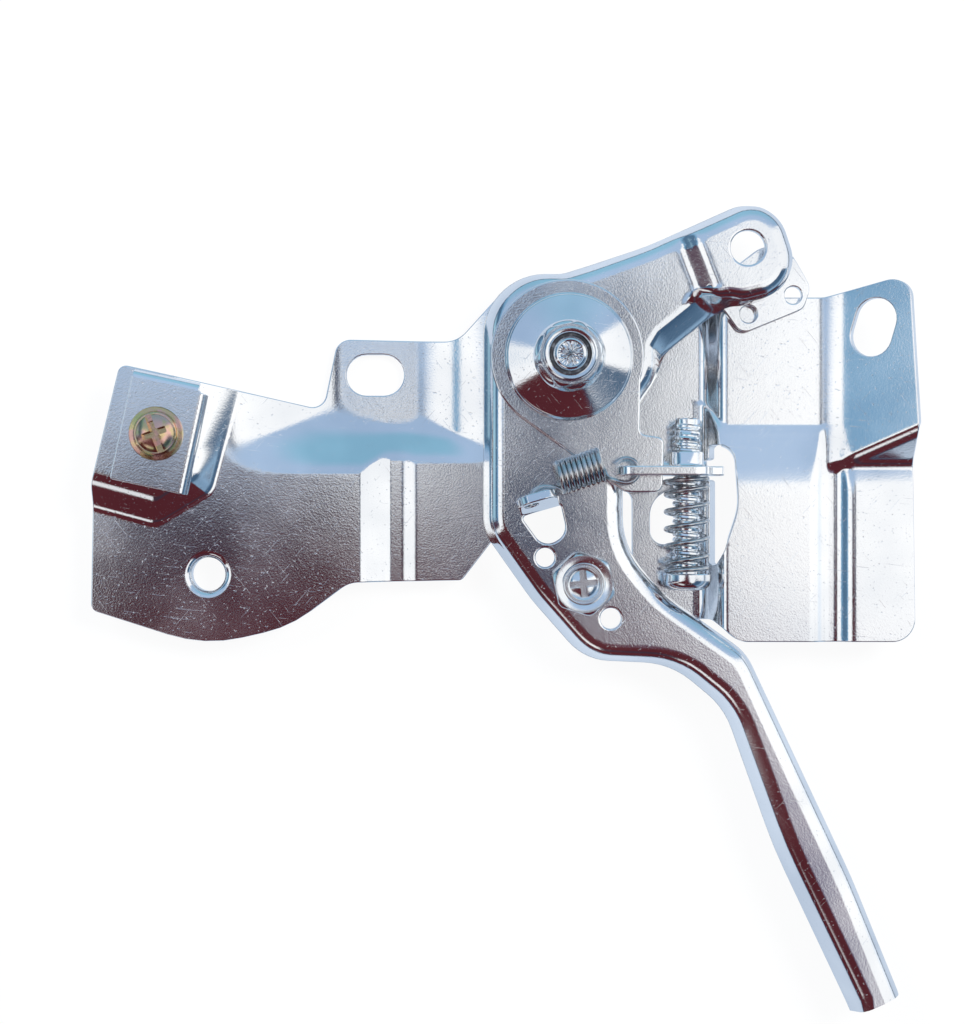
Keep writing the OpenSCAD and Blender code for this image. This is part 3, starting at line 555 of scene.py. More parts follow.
def thread_tree():
    """Rolled screw thread: a ridge wound along Z round a core."""
    tree, n, given = tree_with(
        "Rolled Thread",
        ("Outside Radius", "NodeSocketFloat", 0.0025),
        ("Pitch", "NodeSocketFloat", 0.0008),
        ("Length", "NodeSocketFloat", 0.01),
        ("Steps", "NodeSocketInt", 36),
    )
    ridge = n.maths("MULTIPLY", given["Pitch"], RIDGE_SHARE)
    path = n.maths("SUBTRACT", given["Outside Radius"], ridge)
    winding = {
        "Resolution": given["Steps"],
        "Rotations": n.maths("DIVIDE", given["Length"], given["Pitch"]),
        "Start Radius": path,
        "End Radius": path,
        "Height": given["Length"],
    }
    round_section(n, n.node("GeometryNodeCurveSpiral", winding).outputs[0], ridge, 8, given["Material"])
    return tree


def shaped(obj, name, maker, **values):
    """The plain mesh that a node tree makes of an object; the object goes."""
    tree = bpy.data.node_groups.get(name) or maker()
    mod = obj.modifiers.new("shape", "NODES")
    mod.node_group = tree
    for item in tree.interface.items_tree:
        label = item.name.replace(" ", "_").lower()
        if item.in_out == "INPUT" and label in values:
            mod[item.identifier] = values[label]
    bpy.context.view_layer.update()
    mesh = bpy.data.meshes.new_from_object(obj.evaluated_get(bpy.context.evaluated_depsgraph_get()))
    dropped(obj)
    return mesh


def wire_mesh(points, radius, slot, sides=14):
    """Wire through points in millimetres, as a mesh in metres."""
    curve = bpy.data.curves.new("path", "CURVE")
    curve.dimensions = "3D"
    line = curve.splines.new("POLY")
    line.points.add(len(points) - 1)
    for spot, p in zip(line.points, points):
        spot.co = (p[0] * MM, p[1] * MM, p[2] * MM, 1)
    values = {"wire_radius": radius * MM, "sides": sides, "material": finish(slot)}
    return shaped(linked("path", curve), "Wire Along Path", wire_tree, **values)


def thread_mesh(outside, pitch, long, slot, steps=36):
    """Thread ridge for sizes in millimetres, as a mesh in metres."""
    values = {"outside_radius": outside * MM, "pitch": pitch * MM, "length": long * MM, "steps": steps}
    start = loose_object("thread", [(0, 0, 0)], [])
    return shaped(start, "Rolled Thread", thread_tree, material=finish(slot), **values)


# ---- materials


class Paint(Nodes):
    """A material with one shader, placed by the object's own coordinates."""

    def __init__(self, name):
        self.material = bpy.data.materials.get(name) or bpy.data.materials.new(name)
        self.material.use_nodes = True
        super().__init__(self.material.node_tree)
        self.shader = self.nodes.new("ShaderNodeBsdfPrincipled")
        self.out = self.node("ShaderNodeOutputMaterial", {"Surface": self.shader.outputs[0]})
        self.place = self.nodes.new("ShaderNodeTexCoord").outputs["Object"]

    def stretched(self, scale, turn):
        """Coordinates turned about Z, then stretched."""
        inputs = {"Vector": self.place, "Angle": turn}
        spin = self.node("ShaderNodeVectorRotate", inputs, rotation_type="Z_AXIS")
        return self.node("ShaderNodeMapping", {"Vector": spin.outputs[0], "Scale": scale}).outputs[0]

    def noise(self, scale, detail=2.0, rough=0.5, vector=None):
        inputs = {"Vector": vector or self.place, "Scale": scale, "Detail": detail, "Roughness": rough}
        return self.node("ShaderNodeTexNoise", inputs).outputs["Fac"]

    def bump(self, height, strength, distance, **under):
        inputs = {"Strength": strength, "Distance": distance, "Height": height}
        return self.node("ShaderNodeBump", {**inputs, **under}).outputs[0]

    def done(self, color, roughness, normal, metallic=1.0):
        """The material, with its shader's inputs set."""
        values = {"Base Color": color, "Roughness": roughness, "Normal": normal, "Metallic": metallic}
        for label, value in values.items():
            self.put(value, self.shader.inputs[label])
        return self.material


def plated(name, color, grain=1.0, rough=0.1, scratched=1.0):
    """Bright plated steel: fine grain, a slow ripple from the press, fine scratches and stains."""
    p = Paint(name)
    slow = p.noise(38, 3.0, 0.55)
    lines = 0.0
    for turn, wide in SCRATCHES:
        along = p.noise(1.0, 2.0, 0.6, p.stretched((110, wide, 300), turn))
        lines = p.maths("MAXIMUM", p.span(along, 0.715, 0.75), lines)
    pits = p.span(p.noise(2100, 1.0), 0.3, 0.24)
    lift = p.maths("SUBTRACT", p.noise(3000, 2.0, 0.7), p.maths("MULTIPLY", lines, 0.5 * scratched))
    lift = p.maths("SUBTRACT", lift, p.maths("MULTIPLY", pits, 1.8))
    wave = p.bump(p.noise(700), 0.3, 0.00001 * grain)
    pale, dull = [min(1.0, c * 1.1 + 0.02) for c in color], [c * 0.91 for c in color]
    haze = p.maths("ADD", p.span(slow, 0.3, 0.7, rough * 0.75, rough * 1.4), p.maths("MULTIPLY", lines, 0.05))
    tone = p.mix(p.span(slow, 0.36, 0.66), dull, pale)
    return p.done(tone, haze, p.bump(lift, 1.0, 0.000008 * grain, Normal=wave))


def spring_wire(name, color):
    """Bright spring wire with a fine grain."""
    p = Paint(name)
    slow = p.noise(260)
    tone = p.mix(p.span(slow, 0.35, 0.7), [c * 0.75 for c in color], tuple(color))
    grain = p.bump(p.noise(3000, 2.0, 0.6), 0.35, 0.00001)
    return p.done(tone, p.span(slow, 0.3, 0.7, 0.14, 0.3), grain)


def passivated(name, color):
    """Yellow-passivated zinc: gold with pink and green bloom."""
    p = Paint(name)
    bloom, veil = p.noise(520), p.noise(230)
    tone = p.mix(p.span(bloom, 0.42, 0.62), tuple(color), (0.82, 0.50, 0.42))
    tone = p.mix(p.span(veil, 0.5, 0.68, 0.0, 0.8), tone, (0.50, 0.55, 0.24))
    grain = p.bump(p.noise(2600, 2.0, 0.6), 0.3, 0.00003)
    return p.done(tone, p.span(bloom, 0.3, 0.7, 0.14, 0.26), grain)


def moulded_ring(name, color):
    """Dark locking ring, slightly scuffed where the stud passed through it."""
    p = Paint(name)
    scuff = p.noise(900, 3.0, 0.6)
    tone = p.mix(p.span(scuff, 0.5, 0.75), tuple(color), (0.16, 0.17, 0.19))
    return p.done(tone, p.span(scuff, 0.3, 0.7, 0.35, 0.6), p.bump(scuff, 0.3, 0.00004), metallic=0.0)


def finish(slot):
    """The material of a slot."""
    return bpy.data.materials["spring_wire" if slot == "spring_steel" else slot]


# ---- heights of the bracket


def ramp(value, start, run):
    """0 up to start, then a straight rise to 1 over run."""
    return np.clip((value - start) / run, 0, 1)


def fold(u, width):
    """Straight rise after a fold that is rounded over width either side."""
    return np.where(u < -width, 0.0, np.where(u > width, u, (u + width) ** 2 / (4 * width)))


def bent(x, knots, width):
    """Height along a strip folded at the knots (x, z), level before the first and after the last."""
    slopes = [0.0] + [(b[1] - a[1]) / (b[0] - a[0]) for a, b in zip(knots, knots[1:])] + [0.0]
    z = np.full(np.shape(x), float(knots[0][1]))
    for (at, _), before, after in zip(knots, slopes, slopes[1:]):
        z = z + (after - before) * fold(x - at, width)
    return z


def soft_min(a, b, k):
    return np.minimum(a, b) - np.clip(k - np.abs(a - b), 0, None) ** 2 / (4 * k)


def soft_max(a, b, k):
    return np.maximum(a, b) + np.clip(k - np.abs(a - b), 0, None) ** 2 / (4 * k)


BRACKET_EDGE = [
    (-84, -44.2, 1.5), (-83.6, -22.5, 6), (-78.4, -1, 1.5), (-43.3, -8.7, 2.5), (-40.8, 3.9, 2.8),
    (-19.5, 3.4, 5), (-12, 11.5, 4), (8, 13, 4), (22, 10.8, 3), (45, 10.8, 4), (58.9, 14.4, 3.2),
    (60.4, -12.5, 20), (60.9, -49.7, 4), (30, -49.7, 4.5), (25.2, -45.8, 1.5), (21, -46, 1),
    (11.5, -38.5, 3), (11.5, -23, 2), (-6.2, -23, 2), (-18.6, -39, 1.2), (-38.5, -39.4, 5),
    (-49, -47.2, 22), (-64, -50.6, 25),
]
NOTCH_EDGE = [
    (24.9, -15, 0.8), (29.2, -15.4, 3), (29.9, -26, 10), (27.4, -33.6, 5), (25, -38, 0.6), (25, -21.2, 0.5),
    (16.3, -21.2, 0.5), (16.3, -17.8, 0.5), (24.9, -17.8, 0.5),
]
WINDOW_EDGE = [(14.7, -23, 4.5), (21.6, -23, 1), (21.6, -32.6, 2.4), (14.7, -32.6, 2.4)]
COLLARED = (-63.4, -37.9)
COLLAR_R = 3.0
COLLAR_LIP = 1.1

# Heights along X of the middle web and the right wing, and of the raised field beside it
WEB_KNOTS = [(-35.8, LEFT_TOP), (-32, -0.4), (-28.5, -0.4), (-27.3, 0), (24.2, 0), (27.2, RIGHT_TOP)]
FIELD_KNOTS = [(24.2, 0), (27.2, FIELD_TOP), (43.2, FIELD_TOP), (45, 3.0), (47.4, 3.0), (49.8, FIELD_TOP)]

# Cable seat: centre, turn, turn of its cut corner, and its walls as (distance out, run)
SEAT = (-71.4, -13.6)
SEAT_TURN = math.radians(-15)
SEAT_CORNER = math.radians(-44)
SEAT_WALLS = ((7.2, 3.6), (10.4, 4.8), (8.9, 3.8))

# Walls round the mounting pad at the left, the front and the right, as (distance out, rise, run)
PAD_WALLS = ((44, LEFT_TOP - PAD_TOP, 13), (13, LEFT_TOP - PAD_TOP, 5.4), (-23.2, -PAD_TOP, 7.4))


def seat_height(x, y):
    """Raised seat under the cable clamp, with its three walls."""
    dx, dy = x - SEAT[0], y - SEAT[1]
    u = dx * math.cos(SEAT_TURN) + dy * math.sin(SEAT_TURN)
    v = -dx * math.sin(SEAT_TURN) + dy * math.cos(SEAT_TURN)
    w = u * math.cos(SEAT_CORNER) + v * math.sin(SEAT_CORNER)
    ways = zip((u, -v, w), SEAT_WALLS)
    right, front, corner = (SEAT_TOP - (d - out) * (SEAT_TOP - LEFT_TOP) / run for d, (out, run) in ways)
    return soft_min(soft_min(soft_min(right, front, 0.8), corner, 0.8), SEAT_TOP, 1.1)


def pad_height(x, y):
    """Mounting pad pressed down at the left, with its three walls."""
    ways = zip((-x, -y, x), PAD_WALLS)
    left, front, right = (PAD_TOP + (d - out) * rise / run for d, (out, rise, run) in ways)
    return soft_max(soft_max(soft_max(left, front, 5.0), right, 2.0), PAD_TOP, 1.5)


def bracket_height(x, y):
    """Upper face of the whole stamping."""
    z = bent(x, WEB_KNOTS, 0.9)
    field = bent(x, FIELD_KNOTS, 0.9)
    wedge = FIELD_TOP - 0.125 * fold(y + 22.7, 1.5) - 0.6 * fold(y + 11.5, 1.5)
    z = z + ramp(x, 22.4, 1.4) * (soft_max(z, soft_min(field, wedge, 0.5), 0.3) - z)
    slope = RIGHT_TOP + (x - FOLD_X) * math.tan(TAB_SLOPE)
    z = soft_max(z, soft_min(slope, FIELD_TOP + 1.1 * (y + 18), 1.6), 1.2)
    z = soft_max(z, seat_height(x, y), 0.6)
    z = soft_min(z, pad_height(x, y), 1.6)
    r = np.hypot(x - COLLARED[0], y - COLLARED[1])
    inward = np.clip(COLLAR_R + COLLAR_LIP - r, 0, COLLAR_LIP * 0.999)
    return z - (COLLAR_LIP - np.sqrt(COLLAR_LIP**2 - inward**2))


def tube(inner, outer, low, high, edge=0.2):
    """Closed profile of a straight ring with eased corners."""
    return [
        (inner, low + edge), (inner + edge, low), (outer - edge, low), (outer, low + edge),
        (outer, high - edge), (outer - edge, high), (inner + edge, high), (inner, high - edge),
    ]


def lug_surface(p):
    """Surface of the lug over its flat pattern: level behind the bend, then upright."""
    u, v = p[:, 0], p[:, 1]
    r = LUG_BEND + SHEET
    turn = np.clip(-v / r, 0, math.pi / 2)
    past = np.clip(-v - r * math.pi / 2, 0, None)
    y = LUG_Y - SHEET + r - r * np.cos(turn) + past
    z = LUG_BEND + np.clip(v, 0, None) - r * np.sin(turn)
    return np.c_[u, y, z], np.c_[np.zeros(len(u)), -np.cos(turn), -np.sin(turn)]


def build_bracket(sizes):
    """Stamped bracket: its sheet, the lug bent up from it and the collars drawn from it."""
    skin = Skin()
    x, y = COLLARED
    long, wide = sizes.slot_long / MM, sizes.slot_wide / MM
    holes = [
        rounded(NOTCH_EDGE, gap=0.7),
        rounded(WINDOW_EDGE, gap=0.7),
        slot_hole(-34.1, -2.5, long, wide),
        slot_hole(53.1, 5.3, long, wide, math.radians(73), math.cos(TAB_SLOPE)),
        round_hole(x, y, COLLAR_R + 0.14, 56),
        round_hole(CLAMP[0], CLAMP[1], 2.6),
        round_hole(0, 0, 4.05),
    ]
    edge = rounded(BRACKET_EDGE, gap=0.7)
    surface = raised_surface(bracket_height)
    folds = creases(surface, [edge, *holes])
    folds = folds[np.hypot(folds[:, 0] - x, folds[:, 1] - y) > COLLAR_R + 1.8]
    mouth = [round_hole(x, y, COLLAR_R + r, 56) for r in (0.32, 0.5, 0.72, 0.95, 1.2, 1.5)]
    skin.add_sheet(edge, holes, surface, SHEET, sizes.grid / MM, edge=0.22, extra=np.vstack([*mouth, folds]))

    foot, step = -(LUG_BEND + SHEET) * math.pi / 2 - 1.0, 9.7 - LUG_BEND
    axis, top = SCREW[2] - LUG_BEND, LUG_TOP - LUG_BEND
    nub = [SCREW[2] + v - LUG_BEND for v in (-3.6, -2.6, 2.4, 3)]
    lug_edge = [
        (16.9, foot, 0), (24.8, foot, 0), (24.8, nub[0], 0.8), (27, nub[1], 1), (27, nub[2], 1),
        (24.4, nub[3], 1.5), (23.6, top, 2), (8.3, top, 2.2), (8.3, step, 1.6), (16.9, step, 1),
    ]
    bore, wall, flare = SCREW_D / 2 + 0.05, SCREW_D / 2 + 0.5, 0.6
    lug_holes = [round_hole(SCREW[0], axis, bore), round_hole(LUG_HOOK_X, RETURN_Z - LUG_BEND, 1.3, 32)]
    skin.add_sheet(rounded(lug_edge, gap=0.6), lug_holes, lug_surface, SHEET, 0.7, edge=0.25)

    # Drawn collar that the limit screw runs in
    turns = np.radians([30, 60, 90])
    collar = [(bore, -0.3), (wall + flare, -0.1), (wall + flare, 0.0)]
    collar += [(wall + flare - flare * math.sin(a), flare - flare * math.cos(a)) for a in turns]
    collar += [(wall, 2.4), (wall - 0.1, 2.56), (wall - 0.2, 2.6), (bore + 0.12, 2.6), (bore, 2.45)]
    skin.add(*turned(collar), matrix=posed((SCREW[0], LUG_Y, SCREW[2]), -math.pi / 2, "X"))

    # Collars drawn down from the sheet
    wing = tube(COLLAR_R, COLLAR_R + COLLAR_LIP, LEFT_TOP - SHEET - 2.4, LEFT_TOP - 0.95)
    skin.add(*turned(wing), matrix=posed((x, y, 0)))
    seat = tube(2.5, 3.5, SEAT_TOP - SHEET - 2.2, SEAT_TOP - 0.3)
    skin.add(*turned(seat), matrix=posed((CLAMP[0], CLAMP[1], 0)))
    return piece("bracket_stamping", skin, "bracket", "zinc_plate", "base_plate")


# ---- lever

LEVER_EDGE = [
    (51.2, -118.4, 0), (36, -86, 90), (27.4, -61.5, 14), (18, -53.7, 14), (2.8, -53, 10), (-6.6, -42.3, 30),
    (-15, -30.4, 9), (-15, 15.2, 11), (-1, 15.1, 6), (14, 19.8, 40), (35.6, 29.5, 7.4), (41.4, 11.7, 7.4),
    (28.4, 8.4, 2.5), (17.6, -0.3, 2.5), (9.8, -12.5, 5), (9.8, -32.8, 14),
    (16.6, -41, 20), (31.5, -51.6, 10), (50, -91, 100), (59.6, -114.6, 0),
]
LEVER_TIP = ((49.5, -114.8), (57.9, -111))
LEVER_FOOT = 1.2
STOP = (22, 3)
STOP_LEAN = 56
D_HOLE = [(-8.2, -27.8, 0.6), (-4.3, -33.2, 2.6), (-0.2, -30.8, 2.8), (-1.4, -25.5, 0.6)]
EAR_EDGE = [(24, 12, 2), (37, 22, 5), (42.4, 12.4, 3), (41.2, 8.6, 2), (30.2, 4.1, 2.2), (27.4, 8, 1)]


def arm_lift(x, y):
    """How far the web is raised at the arm's end."""
    s = x * math.cos(ARM_TURN) + y * math.sin(ARM_TURN)
    return bent(s, [(JOGGLE[0], 0), (JOGGLE[1], PAD_LIFT)], 0.8)


def flange_section(foot, lean, top, r, t, edge=0.3):
    """Rows from the web's crown over the bend to the foot and back inside: (inset, height)."""
    inner = r - t
    leg = (top - r + inner * math.sin(lean) - foot) / math.cos(lean)
    mid = np.array([r + leg * math.sin(lean), top - r])
    way = np.array([-math.sin(lean), -math.cos(lean)])
    arc = [np.array([math.cos(a), math.sin(a)]) for a in np.linspace(math.pi / 2, math.pi - lean, 9)]
    out, back = [mid + r * a for a in arc], [mid + inner * a for a in arc]
    level = np.array([0.25, 0.0])
    rows = [out[0] + level] + out + [out[-1] + way * leg * k for k in (0.33, 0.66)]
    ends = [out[-1] + way * leg, back[-1] + way * leg]
    across = (ends[1] - ends[0]) / t
    rows += [ends[0] - way * edge, ends[0] - way * edge * 0.3 + across * edge * 0.3, ends[0] + across * edge]
    rows += [ends[1] - across * edge, ends[1] - way * edge * 0.3 - across * edge * 0.3, ends[1] - way * edge]
    rows += [back[-1] + way * leg * k for k in (0.66, 0.33)] + back[::-1] + [back[0] + level]
    return np.array(rows)


def lever_rings(sizes):
    """The flange's rows of points round the lever, from the web's crown to its underside."""
    edge = wound(rounded(LEVER_EDGE, step=7, gap=1.0, bare=[(*LEVER_EDGE[i][:2], 5.2) for i in (0, -1)]))
    ways = mitres(edge)
    x, y = edge[:, 0], edge[:, 1]
    # The flange leans more at the handle's left side and end, and most at the scooped stop
    splay = 9 * np.clip(0.3 - ways[:, 0], 0, 1) + 7 * ramp(-y, 58, 50) * (ways[:, 0] < -0.5)
    stop = ramp(-np.hypot(x - STOP[0], y - STOP[1]), -11, 7)
    lean = sizes.flange_lean + splay
    lean = np.radians(lean + (STOP_LEAN - lean) * stop * stop * (3 - 2 * stop))
    bend = sizes.bend_radius / MM + 0.3 * ramp(-y, 52, 20)
    foot = LEVER_FOOT + (ARM_UNDER - LEVER_FOOT) * ramp(x, 4, 12) * ramp(y, -9, 6)
    top = WEB_TOP + arm_lift(x, y)
    rows = np.array([flange_section(f, a, z, r, SHEET) for f, a, z, r in zip(foot, lean, top, bend)])
    return [np.c_[edge - ways * rows[:, j, 0:1], rows[:, j, 1]] for j in range(rows.shape[1])]


def cut_square(verts, faces, a, b):
    """The form cut off straight through two points of the plan, and closed there."""
    bm = bmesh.new()
    made = [bm.verts.new(v) for v in verts]
    for face in faces:
        bm.faces.new([made[k] for k in face])
    across = Vector(b) - Vector(a)
    away = Vector((across.y, -across.x, 0)).normalized()
    whole = bm.verts[:] + bm.edges[:] + bm.faces[:]
    cut = bmesh.ops.bisect_plane(bm, geom=whole, plane_co=(*a, 0), plane_no=away, clear_outer=True)
    rim = [e for e in cut["geom_cut"] if isinstance(e, bmesh.types.BMEdge)]
    bmesh.ops.holes_fill(bm, edges=rim, sides=0)
    return emptied(bm)


def build_lever(sizes):
    """Stamped lever: web and flange in one, the ear, the return spring's lug and the bolt's collar."""
    rings = lever_rings(sizes)
    holes = [
        rounded(D_HOLE, gap=0.5),
        round_hole(0, 0, 5.05),
        round_hole(*BOLT, 3.0),
        round_hole(-4.1, -34.8, 1.65, 36),
        round_hole(7.3, -45.4, 1.8, 36),
        round_hole(30.9, 18.8, 3.0),
    ]
    surface = raised_surface(lambda x, y: WEB_TOP + arm_lift(x, y))
    margins = np.vstack([hole - mitres(hole) * 0.42 for hole in (wound(hole, -1) for hole in holes)])
    verts, faces, _, upper, lower = sheet(
        rings[0][:, :2], holes, surface, SHEET, sizes.grid / MM, edge=0.25, rimmed=False, extra=margins
    )
    base, m = len(verts), len(upper)
    verts = np.vstack([verts, *rings[1:-1]])
    strips = [upper] + [base + m * k + np.arange(m) for k in range(len(rings) - 2)] + [lower]
    skin = Skin()
    skin.add(*cut_square(verts, faces + bridged(strips), *LEVER_TIP))

    ear_holes = [round_hole(31.5, 7.7, 1.5, 32), round_hole(39.3, 11, 1.5, 32)]
    skin.add_sheet(rounded(EAR_EDGE, gap=0.6), ear_holes, flat_surface(ARM_UNDER + SHEET), SHEET, 0.8)
    stand = posed((*HOOK_LUG, WEB_TOP), HOOK_LUG_TURN) @ Matrix.Rotation(math.pi / 2 - HOOK_LUG_LEAN, 4, "X")
    lug_edge = rounded([(-3.5, -1.1, 0), (3.5, -1.1, 0), (3.5, 7.8, 2.4), (-3.5, 7.8, 2.4)], gap=0.5)
    hook_hole = round_hole(*HOOK_HOLE, 1.3, 32)
    skin.add_sheet(lug_edge, [hook_hole], flat_surface(SHEET / 2), SHEET, 0.6, matrix=stand)
    skin.add(*turned(tube(3.0, 4.0, LEVER_Z - 2.2, LEVER_Z + 0.8)), matrix=posed((*BOLT, 0)))
    return piece("lever_stamping", skin, "lever", "zinc_plate", "control_lever")


# ---- pivot stack

# Circles of points on the washer's cone, and rows of (radius, drop below the top)
WASHER_RINGS = (11.15, 11.05, 10.9, 10.7, 10.5, 10.2, 9.7, 9.1, 8.5, 7.9, 7.3, 6.7, 6.2, 5.9, 5.6, 5, 4.2)
NUT_COLLAR = [
    (4.75, 1.5), (4.6, 1.35), (4.6, 0.75), (4.52, 0.42), (4.3, 0.3), (4.05, 0.3), (3.78, 0.42), (3.62, 0.65),
    (3.6, 0.9), (3.6, 2), (3.0, 2),
]
PEENED_END = [
    (3.0, 0.55), (2.9, 0.32), (2.55, 0.08), (2.35, 0), (2.2, 0.05), (2.1, 0.2), (1.75, 0.24), (1.4, 0.26),
    (1.05, 0.24), (0.7, 0.24), (0.35, 0.22), (0, 0.22),
]
BOLT_RECESS = [
    (3.85, 0), (3.65, 0.1), (3.55, 0.3), (3.1, 1.3), (2.95, 1.4), (2.85, 1.35), (2.75, 1.15), (2.4, 0.85),
    (1.9, 0.62), (1.2, 0.45), (0.6, 0.4), (0, 0.4),
]


def build_washer(sizes):
    """Domed washer with the tongue that lies against the lug."""
    ends = math.radians(-18), math.radians(236)
    ring = [(-0.3 + 13.3 * math.cos(a), 0.1 + 13.3 * math.sin(a), 0) for a in np.linspace(*ends, 90)]
    edge = rounded(ring + [(9.6, -23.5, 3), (16.2, -23.5, 1.5), (16.4, -14, 1.2), (12.2, -13.4, 1.2)])

    def height(x, y):
        r = np.hypot(x, y)
        return WEB_TOP + WASHER_T + 0.7 * ramp(-r, -11.1, 0.55) ** 0.7 + 1.7 * ramp(-r, -10.55, 4.65)

    rings = np.vstack([round_hole(0, 0, r, 90) for r in WASHER_RINGS])
    skin = Skin()
    surface = raised_surface(height, 0.05)
    skin.add_sheet(edge, [round_hole(0, 0, 3.2)], surface, WASHER_T, 0.9, edge=0.3, extra=rings)
    return piece("tongue_washer_stamping", skin, "bracket", "zinc_plate", "tongue_washer")


def hexagon(angle, across, top, ease=0.25):
    """Radius of a hexagon across flats at an angle, with its corners eased, and its side's rows at the top."""
    turn = (angle + math.pi / 6) % (math.pi / 3) - math.pi / 6
    rim, crown = min(across / 2 / math.cos(turn), across / math.sqrt(3) - ease), across / 2 - 0.05
    shoulder = top - max(0.0, rim - crown) * 0.55
    return rim, [(rim, shoulder - 0.12), (rim - 0.08, shoulder), (crown, top)]


def below(top, rows):
    """Profile rows (r, z) from rows of (r, drop below the top)."""
    return [(r, top - drop) for r, drop in rows]


def build_nut(sizes):
    """Flanged hexagon nut with a round collar, and the locking ring in the collar."""
    h = 6.0

    def profile(angle):
        rim, side = hexagon(angle, sizes.nut_flats / MM, h - 1.5)
        flange = [(3.0, 0.1), (3.2, 0.0), (6.0, 0.0), (6.2, 0.15), (6.22, 0.45), (6.1, 0.62), (5.75, 1.0)]
        return flange + [(rim + 0.05, 1.2), (rim, 1.35)] + side + below(h, NUT_COLLAR)

    skin = Skin()
    skin.add(*turned(profile, 144), smooth=28, matrix=posed((0, 0, DOME_TOP), math.radians(sizes.nut_turn)))
    piece("lock_nut_flanged", skin, "bracket", "zinc_hardware", "lock_nut")
    skin, low = Skin(), NUT_TOP - 2
    ring = [(3.0, 0), (3.6, 0), (3.6, 0.75), (3.5, 0.86), (3.35, 0.9), (3.2, 0.86), (3.0, 0.75)]
    skin.add(*turned([(r, low + z) for r, z in ring]))
    return piece("locking_ring", skin, "bracket", "nylon_ring", "nut_ring")


def build_stud(sizes):
    """Riveted stud; its peened end shows in the nut."""
    skin = Skin()
    foot = [(0, -3.1), (5.4, -3.1), (6.1, -2.95), (6.5, -2.5), (6.5, -1.6), (4.0, -1.6)]
    verts, faces = turned(foot + [(4.0, 0), (5.0, 0), (5.0, 7.4), (3.0, 7.6)] + below(STUD_END, PEENED_END))
    dents = np.random.default_rng(7)
    verts = [
        (a, b, c + dents.uniform(-0.16, 0.16) if c > STUD_END - 0.3 and math.hypot(a, b) < 2.0 else c)
        for a, b, c in verts
    ]
    skin.add(verts, faces)
    return piece("pivot_stud_threaded", skin, "bracket", "zinc_hardware", "pivot_stud")


def build_spacer(sizes):
    """Spacer and cone spring under the lever keep their packed shape."""
    for node, slot in (("spacer", "zinc_hardware"), ("cone_spring", "spring_steel")):
        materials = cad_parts[node].data.materials
        materials.clear()
        materials.append(finish(slot))


# ---- bolts and screws


def cross_cutter(arm, width, low, high):
    """Plus-shaped punch with eased inner corners."""
    w = width / 2
    corners = [
        (arm, -w, 0.2), (arm, w, 0.2), (w, w, 0.25), (w, arm, 0.2), (-w, arm, 0.2), (-w, w, 0.25),
        (-arm, w, 0.2), (-arm, -w, 0.2), (-w, -w, 0.25), (-w, -arm, 0.2), (w, -arm, 0.2), (w, -w, 0.25),
    ]
    return prism(rounded(corners, step=30, gap=0), low, high)


def slot_cutter(width, low, high, reach=8, across=False):
    """Bar-shaped punch along X, or along Y if across."""
    w = width / 2
    verts, faces = prism(np.array([(-reach, -w), (reach, -w), (reach, w), (-reach, w)], float), low, high)
    if across:
        verts, faces = [(y, x, z) for x, y, z in verts], [face[::-1] for face in faces]
    return verts, faces


def screw_piece(names, body, slot, form, at, thread, start):
    """A screw from its carved form, with a thread of (radius, pitch, length) wound from start."""
    skin = Skin()
    skin.add(*form, smooth=28, matrix=at)
    skin.add_mesh(thread_mesh(*thread, slot), MM, at @ Matrix.Translation((0, 0, start)))
    return piece(names[0], skin, body, slot, names[1])


def build_bolt(sizes):
    """Hexagon bolt with a round recess and a cross in its head."""
    head, shank = 4.0, [(0, -6.0), (2.0, -6.0), (2.6, -5.5), (2.6, -0.02)]

    def profile(angle):
        rim, side = hexagon(angle, sizes.bolt_flats / MM, head)
        return shank + [(rim - 0.15, 0.0), (rim, 0.12)] + side + below(head, BOLT_RECESS)

    verts, faces = cross_cutter(2.45, 1.2, head - 2.9, head + 1)
    turn = math.radians(5.5 - sizes.bolt_turn)
    cos, sin = math.cos(turn), math.sin(turn)
    cross = [(x * cos - y * sin, x * sin + y * cos, z) for x, y, z in verts], faces
    form = carved(turned(profile, 96), [cross])
    at = posed((*BOLT, WEB_TOP), math.radians(sizes.bolt_turn))
    names = "recessed_bolt", "lever_bolt"
    return screw_piece(names, "lever", "zinc_hardware", form, at, (3.0, 1.0, 4.6), -5.5)


def build_clamp_screw(sizes):
    """Yellow pan head screw with a collar rim, a slot and a cross."""
    r = sizes.clamp_head / MM / 2
    profile = [(0, -7.1), (1.6, -7.1), (2.1, -6.5), (2.1, 0)]
    profile += [(r - 0.15, 0), (r, 0.15), (r, 0.55), (r - 0.15, 0.7), (r - 0.75, 0.75), (r - 0.9, 0.9)]
    crown = np.radians([8, 16, 25, 34, 43, 52, 61, 70, 80])
    profile += [((r - 0.9) * math.cos(a) ** 0.8, 0.95 + 2.05 * math.sin(a)) for a in crown] + [(0, 3.0)]
    cutters = [cross_cutter(2.2, 1.15, 1.0, 5), slot_cutter(1.1, 1.9, 5, across=True)]
    form = carved(turned(profile), cutters)
    at = posed((CLAMP[0], CLAMP[1], CLAMP[2] + 1.2), math.radians(20))
    names = "clamp_pan_screw", "clamp_screw"
    return screw_piece(names, "bracket", "yellow_zinc", form, at, (2.45, 0.8, 5.6), -6.6)


